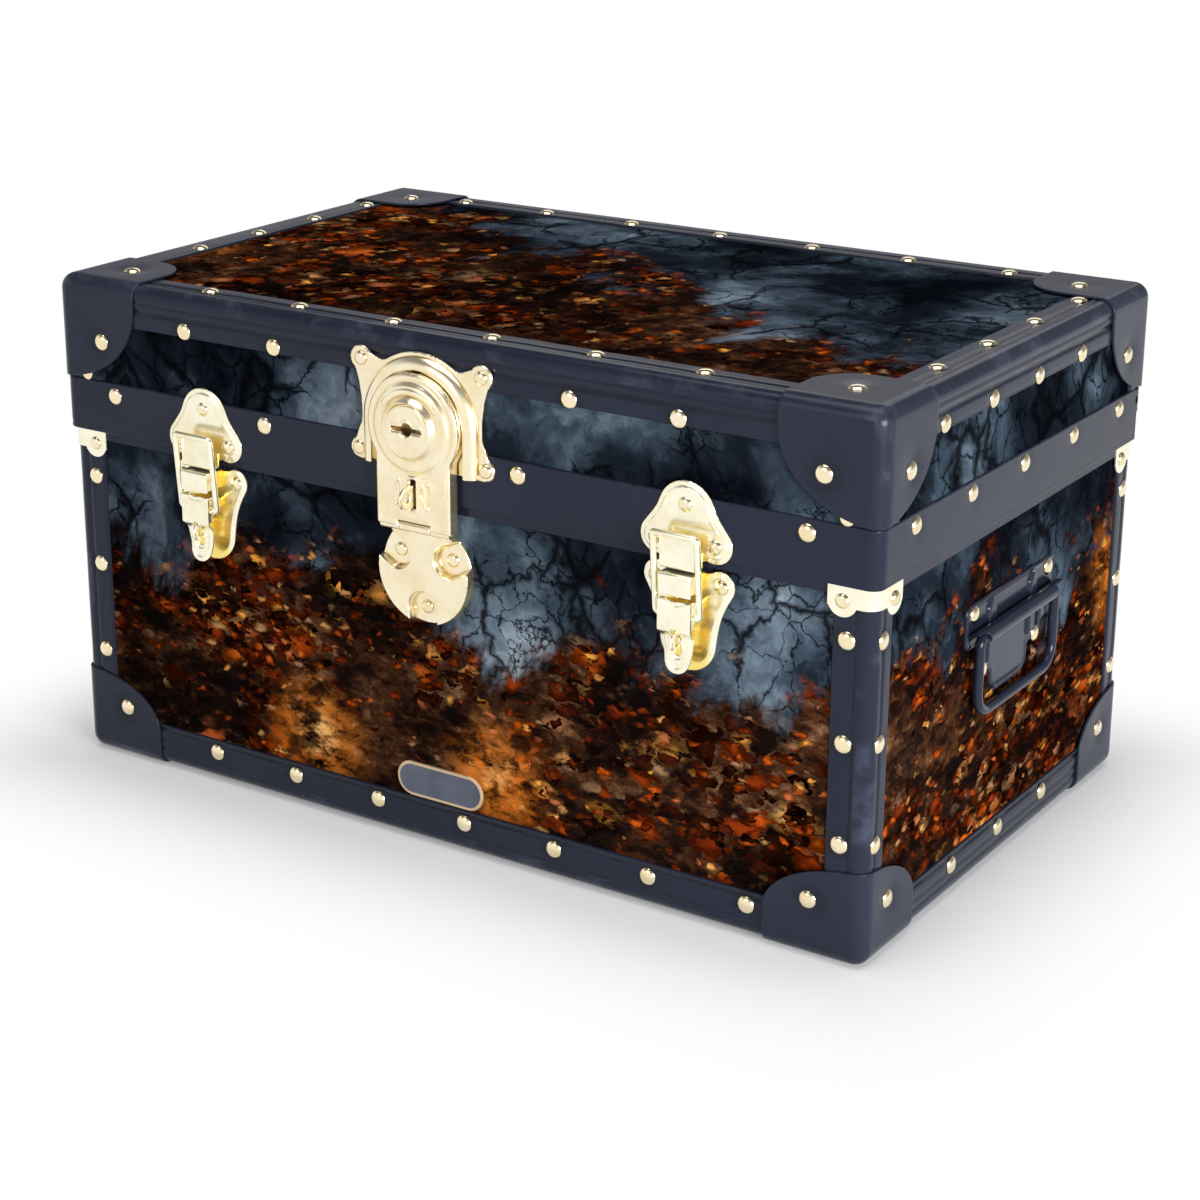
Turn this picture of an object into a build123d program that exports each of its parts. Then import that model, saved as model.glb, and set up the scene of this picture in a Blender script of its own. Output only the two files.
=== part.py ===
from build123d import *
import os

# A small travelling trunk: a plywood case in two halves, bound with sheet metal, with brass fittings.
# Millimetres. X runs along the front, Y from the front to the back, Z up from the floor.

# Overall size over the corner caps
LENGTH = 520.0
DEPTH = 322.0
HEIGHT = 287.0
LID_DEPTH = 74.0

# Boards and sheets
BOARD = 6.0
NOSE = 5.8
SHEET = 1.4
CAP_SHEET = 1.2
CAP_GAP = 0.2
CLIP_SHEET = 0.8
LID_STEP = 2.5
SPLIT_GAP = 0.3
SEAM = 0.2

# Binding angles
EDGE_LEG = 24.0
CORNER_LEG_X = 22.6
CORNER_LEG_Y = 19.5
VALANCE_UP = 15.0
VALANCE_DOWN = 15.5
RIM_DOWN = 20.5

# Corner caps: how far each reaches along X, Y and Z
CAP_X = 57.0
CAP_Y = 54.0
CAP_TOP_CORNER = 26.0
LID_CAP_STRAIGHT = 15.0
LID_CAP_DROP = 43.8
BASE_CAP_STRAIGHT = 21.5
BASE_CAP_RISE = 30.0

# Rivets
RIVET_R = 4.75
RIVET_H = 2.0
RIVET_SHANK_R = 1.5
RIVET_BITE = 3.5
RIVET_FLUSH = 0.0
RIVET_MARGIN = 6.5
RIVET_HOLE_R = 1.6
SMALL_RIVET_R = 3.9

# Back hinges
HINGE_INSET = 110.0
HINGE_WIDTH = 60.0
HINGE_OUT = 4.8
KNUCKLE_R = 2.9
HINGE_PIN_R = 1.5
RUNNING = 0.3
PRESS = 0.05

# Latches: local u along the front, v height over the split, w distance out from the case's middle plane
LATCH_INSET = 106.0
LATCH_SHEET = 1.6
LEVER_SHEET = 1.3
LEVER_HALF = 9.4
LEVER_CHEEK = 1.4
BRACKET_HALF = 7.7
BAIL_R = 1.65
BAIL_HALF = 12.55
BAIL_CLEAR = 0.35
PIVOT_R = 1.3

# Lock
LOCK_X = -5.0
LOCK_HEAD_R = 28.6
LOCK_UP = 25.5
ARCH_WALL = 7.1
ARCH_RISE = 4.6
LOCK_EAR_OUT = 9.6
LOCK_EAR_R = 7.0
NECK_HALF = 23.4
HASP_SHEET = 1.4
HASP_BARREL_DOWN = 29.0
HASP_BARREL_R = 2.9
DISC_R = 29.0
DISC_DOWN = 55.0
BOLT_THROW = 9.0

# Handles, on both ends
HANDLE_DOWN = 72.5
HANDLE_PLATE_HALF = 54.5
HANDLE_ROD_R = 2.75
HANDLE_ROD_HALF = 46.4
HANDLE_DROP = 41.9
HOOD_WALL = 1.4
HOOD_CLEAR = 0.35
HANDLE_SHEET = 1.5

# Blank badge
BADGE_LENGTH = 57.0
BADGE_HEIGHT = 20.0
BADGE_Z = 36.3
BADGE_SHEET = 1.2

# Sizes that follow from the ones above
CAP_RISE = SHEET + CAP_GAP + CAP_SHEET
SPLIT_Z = HEIGHT - LID_DEPTH
LID_X = LENGTH / 2 - CAP_RISE
LID_Y = DEPTH / 2 - CAP_RISE
LID_TOP = HEIGHT - CAP_RISE
BASE_X = LID_X - LID_STEP
BASE_Y = LID_Y - LID_STEP
BASE_BOTTOM = CAP_RISE
LID_LOW = SPLIT_Z + SPLIT_GAP / 2
BASE_HIGH = SPLIT_Z - SPLIT_GAP / 2
VALANCE_TOP = SPLIT_Z + VALANCE_UP
VALANCE_LOW = SPLIT_Z - VALANCE_DOWN
RIM_LOW = SPLIT_Z - RIM_DOWN
LATCH_X = LENGTH / 2 - LATCH_INSET
HINGE_X = LENGTH / 2 - HINGE_INSET
LID_FRONT = LID_Y + SHEET
BASE_FRONT = BASE_Y
HINGE_Y = LID_Y + HINGE_OUT
LOCK_Z = SPLIT_Z + LOCK_UP

parts = {}
lid_rivets = []
base_rivets = []
fitting_rivets = []


def slab(x0, x1, y0, y1, z0, z1):
    """A plain block between two corners."""
    return Pos((x0 + x1) / 2, (y0 + y1) / 2, (z0 + z1) / 2) * Box(x1 - x0, y1 - y0, z1 - z0)


def case_form(half_x, half_y, z0, z1, radius, rounded_at):
    """A case-sized block with rounded upright edges and one rounded end: +1 is the top, -1 the floor."""
    body = slab(-half_x, half_x, -half_y, half_y, z0, z1)
    ends = body.edges().group_by(Axis.Z)
    rim = ends[-1] if rounded_at > 0 else ends[0]
    return fillet(body.edges().filter_by(Axis.Z) + rim, radius)


def lid_form(grow):
    """The lid's outside, grown by a distance; it runs on below the split for the valance."""
    return case_form(LID_X + grow, LID_Y + grow, VALANCE_LOW - 5, LID_TOP + grow, NOSE + grow, 1)


def base_form(grow):
    """The base's outside, grown by a distance."""
    return case_form(BASE_X + grow, BASE_Y + grow, BASE_BOTTOM - grow, SPLIT_Z + 5, NOSE + grow, -1)


def mirrored(shape, sx, sy):
    """A copy for the corner or side given by the signs of X and Y, from one made at +X, -Y."""
    if sx < 0:
        shape = mirror(shape, about=Plane.YZ)
    if sy > 0:
        shape = mirror(shape, about=Plane.XZ)
    return shape


def on_front(sketch, w0, w1):
    """A sketch in X and Z made solid between two distances out from the middle plane, towards -Y."""
    return Pos(0, -w0, 0) * extrude(Plane.XZ * sketch, amount=w1 - w0, dir=(0, -1, 0))


def on_end(sketch, w0, w1):
    """A sketch in Y and Z made solid between two distances along +X."""
    return Pos(w0, 0, 0) * extrude(Plane.YZ * sketch, amount=w1 - w0, dir=(1, 0, 0))


def side_profile(sketch, u0, u1):
    """A sketch whose X is the distance out from the middle plane and whose Y is height, solid along X."""
    plane = Plane(origin=(u0, 0, 0), x_dir=(0, -1, 0), z_dir=(-1, 0, 0))
    return extrude(plane * sketch, amount=u1 - u0, dir=(1, 0, 0))


def rod_loop(points, corner_radii, rod_r):
    """A closed wire of straight runs and tangent arcs through the points, swept with a round rod."""
    wire = FilletPolyline(*points, radius=corner_radii, close=True)
    start = wire @ 0
    along = wire % 0
    return sweep(Plane(origin=start, z_dir=along) * Circle(rod_r), path=wire)


def group(shapes):
    """Separate solids kept together in one piece."""
    solids = []
    for shape in shapes:
        solids.extend(shape.solids())
    return Compound(children=solids)


def spread(low, high, count):
    """Evenly spaced places from low to high."""
    return [low + (high - low) * i / (count - 1) for i in range(count)]


def make_rivet(head_r, deep):
    """A domed rivet standing on Z = 0, with a shank that goes down to a depth."""
    dome_r = (head_r ** 2 + RIVET_H ** 2) / (2 * RIVET_H)
    head = Pos(0, 0, RIVET_H - dome_r) * Sphere(dome_r) & slab(-head_r, head_r, -head_r, head_r, 0, RIVET_H)
    return head + Pos(0, 0, -deep / 2) * Cylinder(RIVET_SHANK_R, deep)


def rivet(store, at, normal, stack, head_r=RIVET_R, bite=RIVET_BITE):
    """Puts a rivet through a stack of sheets in a list, with the hole that it needs."""
    place = Plane(origin=at, z_dir=normal).location
    deep = stack + bite
    hole = place * Pos(0, 0, -deep / 2) * Cylinder(RIVET_HOLE_R, deep + 0.2)
    store.append((place * make_rivet(head_r, deep), hole))


def front_rivet(store, x, z, w, stack, head_r=RIVET_R, bite=RIVET_BITE):
    """A rivet on the front, w out from the middle plane."""
    rivet(store, (x, -w, z), (0, -1, 0), stack, head_r, bite)


def drilled(shape, stores):
    """The shape with a hole for each rivet that passes through it."""
    box = shape.bounding_box()
    holes = []
    for store in stores:
        for _, hole in store:
            spot = hole.bounding_box()
            apart = (
                spot.min.X > box.max.X or spot.max.X < box.min.X
                or spot.min.Y > box.max.Y or spot.max.Y < box.min.Y
                or spot.min.Z > box.max.Z or spot.max.Z < box.min.Z
            )
            if not apart:
                holes.append(hole)
    return shape - holes if holes else shape


# Boards

def make_boards():
    """Plywood boards: the front and back run the full length, the ends stand between them."""
    lid = lid_form(0)
    base = base_form(0)
    inner_z = LID_TOP - BOARD
    floor_z = BASE_BOTTOM + BOARD
    far = LENGTH
    lid_boards = {
        "top": slab(-far, far, -far, far, inner_z, LID_TOP),
        "front": slab(-far, far, -LID_Y, -LID_Y + BOARD, LID_LOW, inner_z),
        "back": slab(-far, far, LID_Y - BOARD, LID_Y, LID_LOW, inner_z),
        "left": slab(-LID_X, -LID_X + BOARD, -LID_Y + BOARD, LID_Y - BOARD, LID_LOW, inner_z),
        "right": slab(LID_X - BOARD, LID_X, -LID_Y + BOARD, LID_Y - BOARD, LID_LOW, inner_z),
    }
    base_boards = {
        "bottom": slab(-far, far, -far, far, BASE_BOTTOM, floor_z),
        "front": slab(-far, far, -BASE_Y, -BASE_Y + BOARD, floor_z, BASE_HIGH),
        "back": slab(-far, far, BASE_Y - BOARD, BASE_Y, floor_z, BASE_HIGH),
        "left": slab(-BASE_X, -BASE_X + BOARD, -BASE_Y + BOARD, BASE_Y - BOARD, floor_z, BASE_HIGH),
        "right": slab(BASE_X - BOARD, BASE_X, -BASE_Y + BOARD, BASE_Y - BOARD, floor_z, BASE_HIGH),
    }
    for name, region in lid_boards.items():
        parts[f"lid_{name}_board"] = lid & region
    for name, region in base_boards.items():
        parts[f"base_{name}_board"] = base & region


# Binding

def mitred_front(half_x, half_y, leg, z0, z1):
    """The region of a front edge angle, cut at 45 degrees in plan at both ends."""
    outline = Polygon(
        (-half_x, -half_y), (half_x, -half_y), (half_x - leg, -half_y + leg), (-half_x + leg, -half_y + leg),
        align=None,
    )
    return Pos(0, 0, z0) * extrude(outline, amount=z1 - z0, dir=(0, 0, 1))


def mitred_end(half_x, half_y, leg, z0, z1):
    """The region of a right-hand edge angle, cut at 45 degrees in plan at both ends."""
    outline = Polygon(
        (half_x, -half_y), (half_x, half_y), (half_x - leg, half_y - leg), (half_x - leg, -half_y + leg),
        align=None,
    )
    return Pos(0, 0, z0) * extrude(outline, amount=z1 - z0, dir=(0, 0, 1))


def make_binding():
    """Sheet metal angles on every edge, strips along the base's rim and the lid's hanging valance."""
    lid_sheet = lid_form(SHEET) - lid_form(0)
    base_sheet = base_form(SHEET) - base_form(0)
    lx, ly = LID_X + SHEET, LID_Y + SHEET
    bx, by = BASE_X + SHEET, BASE_Y + SHEET
    lid_edge = LID_TOP + SHEET - EDGE_LEG
    base_edge = BASE_BOTTOM - SHEET + EDGE_LEG + 0.6
    front_top = lid_sheet & mitred_front(lx, ly, EDGE_LEG - SEAM, lid_edge, HEIGHT)
    right_top = lid_sheet & mitred_end(lx, ly, EDGE_LEG - SEAM, lid_edge, HEIGHT)
    front_low = base_sheet & mitred_front(bx, by, EDGE_LEG - SEAM, 0, base_edge)
    right_low = base_sheet & mitred_end(bx, by, EDGE_LEG - SEAM, 0, base_edge)
    parts["lid_edge_angle_front"] = front_top
    parts["lid_edge_angle_back"] = mirrored(front_top, 1, 1)
    parts["lid_edge_angle_right"] = right_top
    parts["lid_edge_angle_left"] = mirrored(right_top, -1, -1)
    parts["base_edge_angle_front"] = front_low
    parts["base_edge_angle_back"] = mirrored(front_low, 1, 1)
    parts["base_edge_angle_right"] = right_low
    parts["base_edge_angle_left"] = mirrored(right_low, -1, -1)

    lid_post = lid_sheet & slab(
        lx - CORNER_LEG_X, lx, -ly, -ly + CORNER_LEG_Y, VALANCE_TOP + SEAM, lid_edge - SEAM)
    base_post = base_sheet & slab(
        bx - CORNER_LEG_X, bx, -by, -by + CORNER_LEG_Y, base_edge + SEAM, BASE_HIGH)
    corners = [(1, -1), (-1, -1), (1, 1), (-1, 1)]
    parts["lid_corner_angles"] = group([mirrored(lid_post, sx, sy) for sx, sy in corners])
    parts["base_corner_angles"] = group([mirrored(base_post, sx, sy) for sx, sy in corners])

    reach_x = bx - CORNER_LEG_X - SEAM
    reach_y = by - CORNER_LEG_Y - SEAM
    front_rim = slab(-reach_x, reach_x, -by, -BASE_Y, RIM_LOW, BASE_HIGH)
    right_rim = slab(BASE_X, bx, -reach_y, reach_y, RIM_LOW, BASE_HIGH)
    rims = [front_rim, mirrored(front_rim, 1, 1), right_rim, mirrored(right_rim, -1, -1)]
    parts["base_rim_strips"] = group(rims)

    hanging = slab(-lx, lx, -ly, LID_Y - NOSE, VALANCE_LOW, VALANCE_TOP)
    upper = slab(-lx, lx, -ly, ly, SPLIT_Z + SPLIT_GAP, VALANCE_TOP)
    parts["lid_valance_band"] = lid_sheet & (hanging + upper)

    clip_skin = base_form(SHEET + CLIP_SHEET) - base_form(SHEET)
    cx, cy = bx + CLIP_SHEET, by + CLIP_SHEET
    front_at = (cx - 18.0, RIM_LOW - 2.5)
    end_at = (cy - 19.0, RIM_LOW - 3.0)
    lobe_r = 8.0
    strip = slab(cx - 26.0, cx, -cy, -cy + 27.0, RIM_LOW - 5.5, BASE_HIGH - SEAM)
    front_lobe = on_front(Pos(*front_at) * Circle(lobe_r), BASE_Y, cy)
    end_lobe = on_end(Pos(-end_at[0], end_at[1]) * Circle(lobe_r), BASE_X, cx)
    clip = clip_skin & (strip + front_lobe + end_lobe)
    parts["rim_corner_clips"] = group([mirrored(clip, sx, sy) for sx, sy in corners])
    for sx, sy in corners:
        stack = SHEET + CLIP_SHEET
        rivet(base_rivets, (sx * front_at[0], sy * cy, front_at[1]), (0, sy, 0), stack, SMALL_RIVET_R)
        rivet(base_rivets, (sx * cx, sy * end_at[0], end_at[1]), (sx, 0, 0), stack, SMALL_RIVET_R)


# Corner caps

def lobe(width, straight, drop):
    """A cap's face seen square on: straight from its free edge, then a quarter ellipse to the corner."""
    quarter = Ellipse(width, drop) & (Pos(width / 2, -drop / 2) * Rectangle(width, drop))
    return (Pos(width / 2, straight / 2) * Rectangle(width, straight)) + quarter


def make_caps():
    """Eight pressed corner caps over the binding; the base's four stand on the floor."""
    grow = SHEET + CAP_GAP
    depth = NOSE + CAP_RISE + 1.0
    lid_skin = lid_form(grow + CAP_SHEET) - lid_form(grow)
    base_skin = base_form(grow + CAP_SHEET) - base_form(grow)

    # the lid's cap at +X, -Y: the lobes' corner lies on the case's upright edge
    ox, oy = LID_X + CAP_RISE, LID_Y + CAP_RISE
    face = lobe(CAP_X, LID_CAP_STRAIGHT, LID_CAP_DROP)
    front_sketch = Pos(ox, HEIGHT - LID_CAP_STRAIGHT) * mirror(face, about=Plane.YZ)
    side = lobe(CAP_Y, LID_CAP_STRAIGHT, LID_CAP_DROP)
    end_sketch = Pos(-oy, HEIGHT - LID_CAP_STRAIGHT) * side
    top_block = slab(ox - CAP_X, ox, -oy, -oy + CAP_Y, HEIGHT - depth, HEIGHT)
    inner_edge = top_block.edges().filter_by(Axis.Z).sort_by(Axis.X)[:2].sort_by(Axis.Y)[-1]
    top_block = fillet(inner_edge, CAP_TOP_CORNER)
    region = on_front(front_sketch, oy - depth, oy) + on_end(end_sketch, ox - depth, ox) + top_block
    lid_cap = lid_skin & region

    # the base's cap at +X, -Y, the other way up
    qx, qy = BASE_X + CAP_RISE, BASE_Y + CAP_RISE
    face = mirror(lobe(CAP_X, BASE_CAP_STRAIGHT, BASE_CAP_RISE), about=Plane.XZ)
    front_sketch = Pos(qx, BASE_CAP_STRAIGHT) * mirror(face, about=Plane.YZ)
    side = mirror(lobe(CAP_Y, BASE_CAP_STRAIGHT, BASE_CAP_RISE), about=Plane.XZ)
    end_sketch = Pos(-qy, BASE_CAP_STRAIGHT) * side
    sole_block = slab(qx - CAP_X, qx, -qy, -qy + CAP_Y, 0, depth)
    inner_edge = sole_block.edges().filter_by(Axis.Z).sort_by(Axis.X)[:2].sort_by(Axis.Y)[-1]
    sole_block = fillet(inner_edge, CAP_TOP_CORNER)
    region = on_front(front_sketch, qy - depth, qy) + on_end(end_sketch, qx - depth, qx) + sole_block
    base_cap = base_skin & region

    for sx, side_name in ((1, "right"), (-1, "left")):
        for sy, depth_name in ((-1, "front"), (1, "back")):
            parts[f"lid_corner_cap_{depth_name}_{side_name}"] = mirrored(lid_cap, sx, sy)
            parts[f"base_corner_cap_{depth_name}_{side_name}"] = mirrored(base_cap, sx, sy)
            lid_z = HEIGHT - 36.0
            rivet(lid_rivets, (sx * (ox - 32.0), sy * oy, lid_z), (0, sy, 0), CAP_RISE)
            rivet(lid_rivets, (sx * ox, sy * (oy - 29.0), lid_z), (sx, 0, 0), CAP_RISE)
            rivet(lid_rivets, (sx * (ox - 31.0), sy * (oy - 30.0), HEIGHT), (0, 0, 1), CAP_RISE)
            rivet(base_rivets, (sx * (qx - 32.0), sy * qy, 31.0), (0, sy, 0), CAP_RISE)
            rivet(base_rivets, (sx * qx, sy * (qy - 26.0), 30.0), (sx, 0, 0), CAP_RISE)


def make_binding_rivets():
    """Rows of rivets along the binding, spaced between the caps."""
    top = LID_TOP + SHEET
    lx, ly = LID_X + SHEET, LID_Y + SHEET
    bx, by = BASE_X + SHEET, BASE_Y + SHEET
    clear_x = LENGTH / 2 - CAP_X
    clear_y = DEPTH / 2 - CAP_Y
    leg_z = HEIGHT - 22.0
    ridge = 17.0
    lock_half = LOCK_HEAD_R + LOCK_EAR_OUT + LOCK_EAR_R + RIVET_R + 0.5
    for x in spread(-clear_x + 36.0, clear_x - 55.0, 6):
        if abs(x - LOCK_X) > lock_half:
            front_rivet(lid_rivets, x, leg_z, ly, SHEET)
    for x in spread(-clear_x + 42.0, clear_x - 50.0, 6):
        rivet(lid_rivets, (x, -ly + ridge, top), (0, 0, 1), SHEET)
    for x in spread(-clear_x + 4.0 + RIVET_R, clear_x - 21.0, 7):
        rivet(lid_rivets, (x, ly - ridge, top), (0, 0, 1), SHEET)
    for x in spread(-clear_x + 30.0, clear_x - 30.0, 6):
        rivet(lid_rivets, (x, ly, leg_z), (0, 1, 0), SHEET)
        rivet(base_rivets, (x, by, 18.0), (0, 1, 0), SHEET)
    for x in spread(-clear_x + 45.0, clear_x - 12.5, 7):
        front_rivet(base_rivets, x, 18.0, by, SHEET)
    for sx in (1, -1):
        for y in spread(-clear_y + 12.0, clear_y - 38.0, 4):
            rivet(lid_rivets, (sx * lx, y, leg_z), (sx, 0, 0), SHEET)
        for y in spread(-57.0, 57.0, 3):
            rivet(base_rivets, (sx * bx, y, 18.0), (sx, 0, 0), SHEET)
        for y in spread(-clear_y - 15.0, clear_y + 20.0, 5):
            rivet(lid_rivets, (sx * lx, y, SPLIT_Z + 8.3), (sx, 0, 0), SHEET)
        for sy in (1, -1):
            for z in spread(64.0, SPLIT_Z - 43.0, 3):
                rivet(base_rivets, (sx * (bx - 15.0), sy * by, z), (0, sy, 0), SHEET)
                rivet(base_rivets, (sx * bx, sy * (by - 10.5), z), (sx, 0, 0), SHEET)
    for y in spread(-clear_y + 35.5, clear_y - RIVET_MARGIN, 4):
        rivet(lid_rivets, (lx - ridge, y, top), (0, 0, 1), SHEET)
    for y in spread(-clear_y + 48.0, clear_y - RIVET_MARGIN, 4):
        rivet(lid_rivets, (-lx + ridge, y, top), (0, 0, 1), SHEET)
    for x in (-lx + 38.0, -LATCH_X + 42.0, LOCK_X + 59.0, lx - 39.0):
        front_rivet(lid_rivets, x, SPLIT_Z + 7.5, ly, SHEET)


# Back hinges

def make_hinges():
    """Two leaf hinges on the back, their pins just outside the lid's boards."""
    count = 5
    pitch = HINGE_WIDTH / count
    axis = (HINGE_Y, SPLIT_Z)
    base_leaves = []
    lid_leaves = []
    pins = []
    base_face = BASE_Y + SHEET
    lid_face = LID_Y + SHEET
    for middle in (-HINGE_X, HINGE_X):
        x0 = middle - HINGE_WIDTH / 2
        base_leaf = slab(x0, x0 + HINGE_WIDTH, base_face, base_face + SHEET, RIM_LOW + 0.5, BASE_HIGH)
        lid_leaf = slab(x0, x0 + HINGE_WIDTH, lid_face, lid_face + SHEET,
                        SPLIT_Z + KNUCKLE_R + 0.4, VALANCE_TOP - 0.5)
        for i in range(count):
            a = x0 + i * pitch + RUNNING / 2
            b = a + pitch - RUNNING
            knuckle = Pos((a + b) / 2, *axis) * Rot(0, 90, 0) * Cylinder(KNUCKLE_R, b - a)
            if i % 2 == 0:
                web = slab(a, b, base_face, HINGE_Y, SPLIT_Z - KNUCKLE_R, SPLIT_Z - KNUCKLE_R + SHEET)
                base_leaf = base_leaf + knuckle + web
            else:
                crown = SPLIT_Z + KNUCKLE_R
                web = slab(a, b, lid_face, HINGE_Y, crown - SHEET, crown)
                rise = slab(a, b, lid_face, lid_face + SHEET, crown - SHEET, crown + 1)
                lid_leaf = lid_leaf + knuckle + web + rise
        bore = Pos(middle, *axis) * Rot(0, 90, 0)
        base_leaves.append(base_leaf - bore * Cylinder(HINGE_PIN_R + PRESS, HINGE_WIDTH + 2))
        lid_leaves.append(lid_leaf - bore * Cylinder(HINGE_PIN_R + RUNNING, HINGE_WIDTH + 2))
        pins.append(bore * Cylinder(HINGE_PIN_R, HINGE_WIDTH))
        for dx in (-HINGE_WIDTH / 2 + 8, HINGE_WIDTH / 2 - 8):
            rivet(lid_rivets, (middle + dx, lid_face + SHEET, VALANCE_TOP - 6.0), (0, 1, 0), 2 * SHEET,
                  SMALL_RIVET_R)
            rivet(base_rivets, (middle + dx, base_face + SHEET, RIM_LOW + 7.0), (0, 1, 0), 2 * SHEET,
                  SMALL_RIVET_R)
    parts["hinge_base_leaves"] = group(base_leaves)
    parts["hinge_lid_leaves"] = group(lid_leaves)
    parts["hinge_pins"] = group(pins)


# Latches

def hull(*shapes):
    """The outline that a string pulled round these shapes would take."""
    edges = []
    for shape in shapes:
        edges.extend(shape.edges())
    return make_hull(edges)


def block2(a0, a1, b0, b1):
    """A rectangle between two corners, in the plane of a sketch."""
    return Pos((a0 + a1) / 2, (b0 + b1) / 2) * Rectangle(a1 - a0, b1 - b0)


def disc2(a, b, r):
    """A circle in the plane of a sketch."""
    return Pos(a, b) * Circle(r)


def make_latch(name, at_x):
    """A toggle latch: strike on the lid, plate, lever and bail on the base."""
    face = LID_FRONT
    plate_face = BASE_FRONT + LATCH_SHEET
    s = SPLIT_Z

    # strike: a rounded triangle with a hook in the middle
    strike_top = (0, s + 10.6)
    strike_ears = (17.0, s - 8.4)
    outline = hull(disc2(*strike_top, 12.0), disc2(strike_ears[0], strike_ears[1], 9.2),
                   disc2(-strike_ears[0], strike_ears[1], 9.2))
    hook_half = 10.0
    hook_low = s - 21.0
    hook_out = face + 9.0
    hook_sheet = 1.4
    profile = (
        block2(face, face + LATCH_SHEET, hook_low, s - 14.0)
        + block2(face, hook_out, hook_low, hook_low + hook_sheet)
        + block2(hook_out - hook_sheet, hook_out, hook_low, s - 4.5)
    )
    strike = on_front(outline, face, face + LATCH_SHEET) + side_profile(profile, -hook_half, hook_half)
    strike_face = face + LATCH_SHEET
    strike_stack = LATCH_SHEET + SHEET
    front_rivet(lid_rivets, at_x, strike_top[1], strike_face, strike_stack, SMALL_RIVET_R)
    for x in (at_x - strike_ears[0], at_x + strike_ears[0]):
        front_rivet(lid_rivets, x, strike_ears[1], strike_face, strike_stack, SMALL_RIVET_R, RIVET_FLUSH)

    # plate with the bracket that carries the lever, and the staple for a padlock
    lever_face = hook_out + 2.4
    pivot = (lever_face - 4.1, s - 39.0)
    bracket_low = pivot[1] + 5.2
    bracket_top = hook_low - 1.7
    ears = (18.0, s - 29.8)
    outline = hull(disc2(ears[0], ears[1], 8.3), disc2(-ears[0], ears[1], 8.3))
    outline = outline + hull(disc2(0, s - 39.0, 18.6), disc2(0, s - 60.6, 16.0))
    plate = on_front(outline, BASE_FRONT, plate_face)
    root = plate_face - 0.4
    cheek = block2(root, lever_face - 1.0, bracket_low, bracket_top)
    cheek = cheek + hull(disc2(*pivot, 2.4), block2(root, root + 1.0, pivot[1] - 6.0, pivot[1] - 1.0))
    inner = BRACKET_HALF - LEVER_CHEEK
    bridge = block2(lever_face - LEVER_SHEET, lever_face, bracket_low, bracket_top)
    bridge = bridge + block2(root, lever_face, bracket_top - LEVER_SHEET, bracket_top)
    plate = plate + side_profile(cheek, inner, BRACKET_HALF) + side_profile(cheek, -BRACKET_HALF, -inner)
    plate = plate + side_profile(bridge, -LEVER_HALF + 0.2, LEVER_HALF - 0.2)
    staple_at = (lever_face - 3.5, s - 58.0)
    staple = block2(root, staple_at[0], staple_at[1] - 4.8, staple_at[1] + 4.8)
    staple = staple + disc2(*staple_at, 5.3) - disc2(*staple_at, 2.5)
    plate = plate + side_profile(staple, -0.8, 0.8)
    pin_hole = Pos(0, -pivot[0], pivot[1]) * Rot(0, 90, 0)
    plate = plate - pin_hole * Cylinder(PIVOT_R + PRESS, 2 * BRACKET_HALF + 1)
    for dx in (-ears[0] - 0.8, ears[0] + 0.8):
        front_rivet(fitting_rivets, at_x + dx, ears[1], plate_face, LATCH_SHEET, SMALL_RIVET_R)

    # lever: a folded channel, with a slot for the staple and a finger tab
    bail_pivot = (pivot[0], pivot[1] - 5.7)
    top_z = pivot[1] + 2.6
    bend_z = pivot[1] - 13.2
    low_z = s - 75.0
    outer = [(lever_face, top_z), (lever_face, bend_z), (lever_face - 4.0, bend_z - 3.3),
             (lever_face - 4.8, low_z + 10), (lever_face - 2.8, low_z)]
    inner_line = [(lever_face - 4.1, low_z), (lever_face - 6.1, low_z + 10),
                  (lever_face - 5.3, bend_z - 2.6), (lever_face - LEVER_SHEET, bend_z + 0.6),
                  (lever_face - LEVER_SHEET, top_z)]
    lever = side_profile(Polygon(*outer, *inner_line, align=None), -LEVER_HALF, LEVER_HALF)
    tab_r = 7.2
    tab = block2(-LEVER_HALF, LEVER_HALF, bend_z - 3.0, top_z + 5)
    shoulder = block2(-LEVER_HALF, LEVER_HALF, bend_z - 3.5, bend_z - 3.0)
    tab = tab + hull(disc2(0, low_z + tab_r, tab_r), shoulder)
    lever = lever & on_front(tab, BASE_FRONT, lever_face + 5)
    cheek = hull(disc2(*pivot, 2.7), disc2(*bail_pivot, 2.9))
    cheek = cheek + block2(pivot[0], lever_face, bend_z + 0.7, top_z)
    lever = lever + side_profile(cheek, LEVER_HALF - LEVER_CHEEK, LEVER_HALF)
    lever = lever + side_profile(cheek, -LEVER_HALF, -LEVER_HALF + LEVER_CHEEK)
    lever = lever - slab(-2.0, 2.0, -lever_face - 1, -BASE_FRONT, s - 65.8, s - 51.5)
    lever = lever - pin_hole * Cylinder(PIVOT_R + RUNNING, 2 * LEVER_HALF + 2)
    bail_hole = Pos(0, -bail_pivot[0], bail_pivot[1]) * Rot(0, 90, 0)
    lever = lever - bail_hole * Cylinder(BAIL_R + RUNNING, 2 * LEVER_HALF + 2)
    pin = pin_hole * Cylinder(PIVOT_R, 2 * LEVER_HALF + 1.0)

    # bail: a wire loop from the lever up to just in front of the hook
    top_w = hook_out + BAIL_CLEAR + BAIL_R
    top_v = s - 2.7
    corners = [(-BAIL_HALF, -bail_pivot[0], bail_pivot[1]), (-BAIL_HALF, -top_w, top_v),
               (BAIL_HALF, -top_w, top_v), (BAIL_HALF, -bail_pivot[0], bail_pivot[1])]
    bail = rod_loop(corners, [2.2] * 4, BAIL_R)

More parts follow.
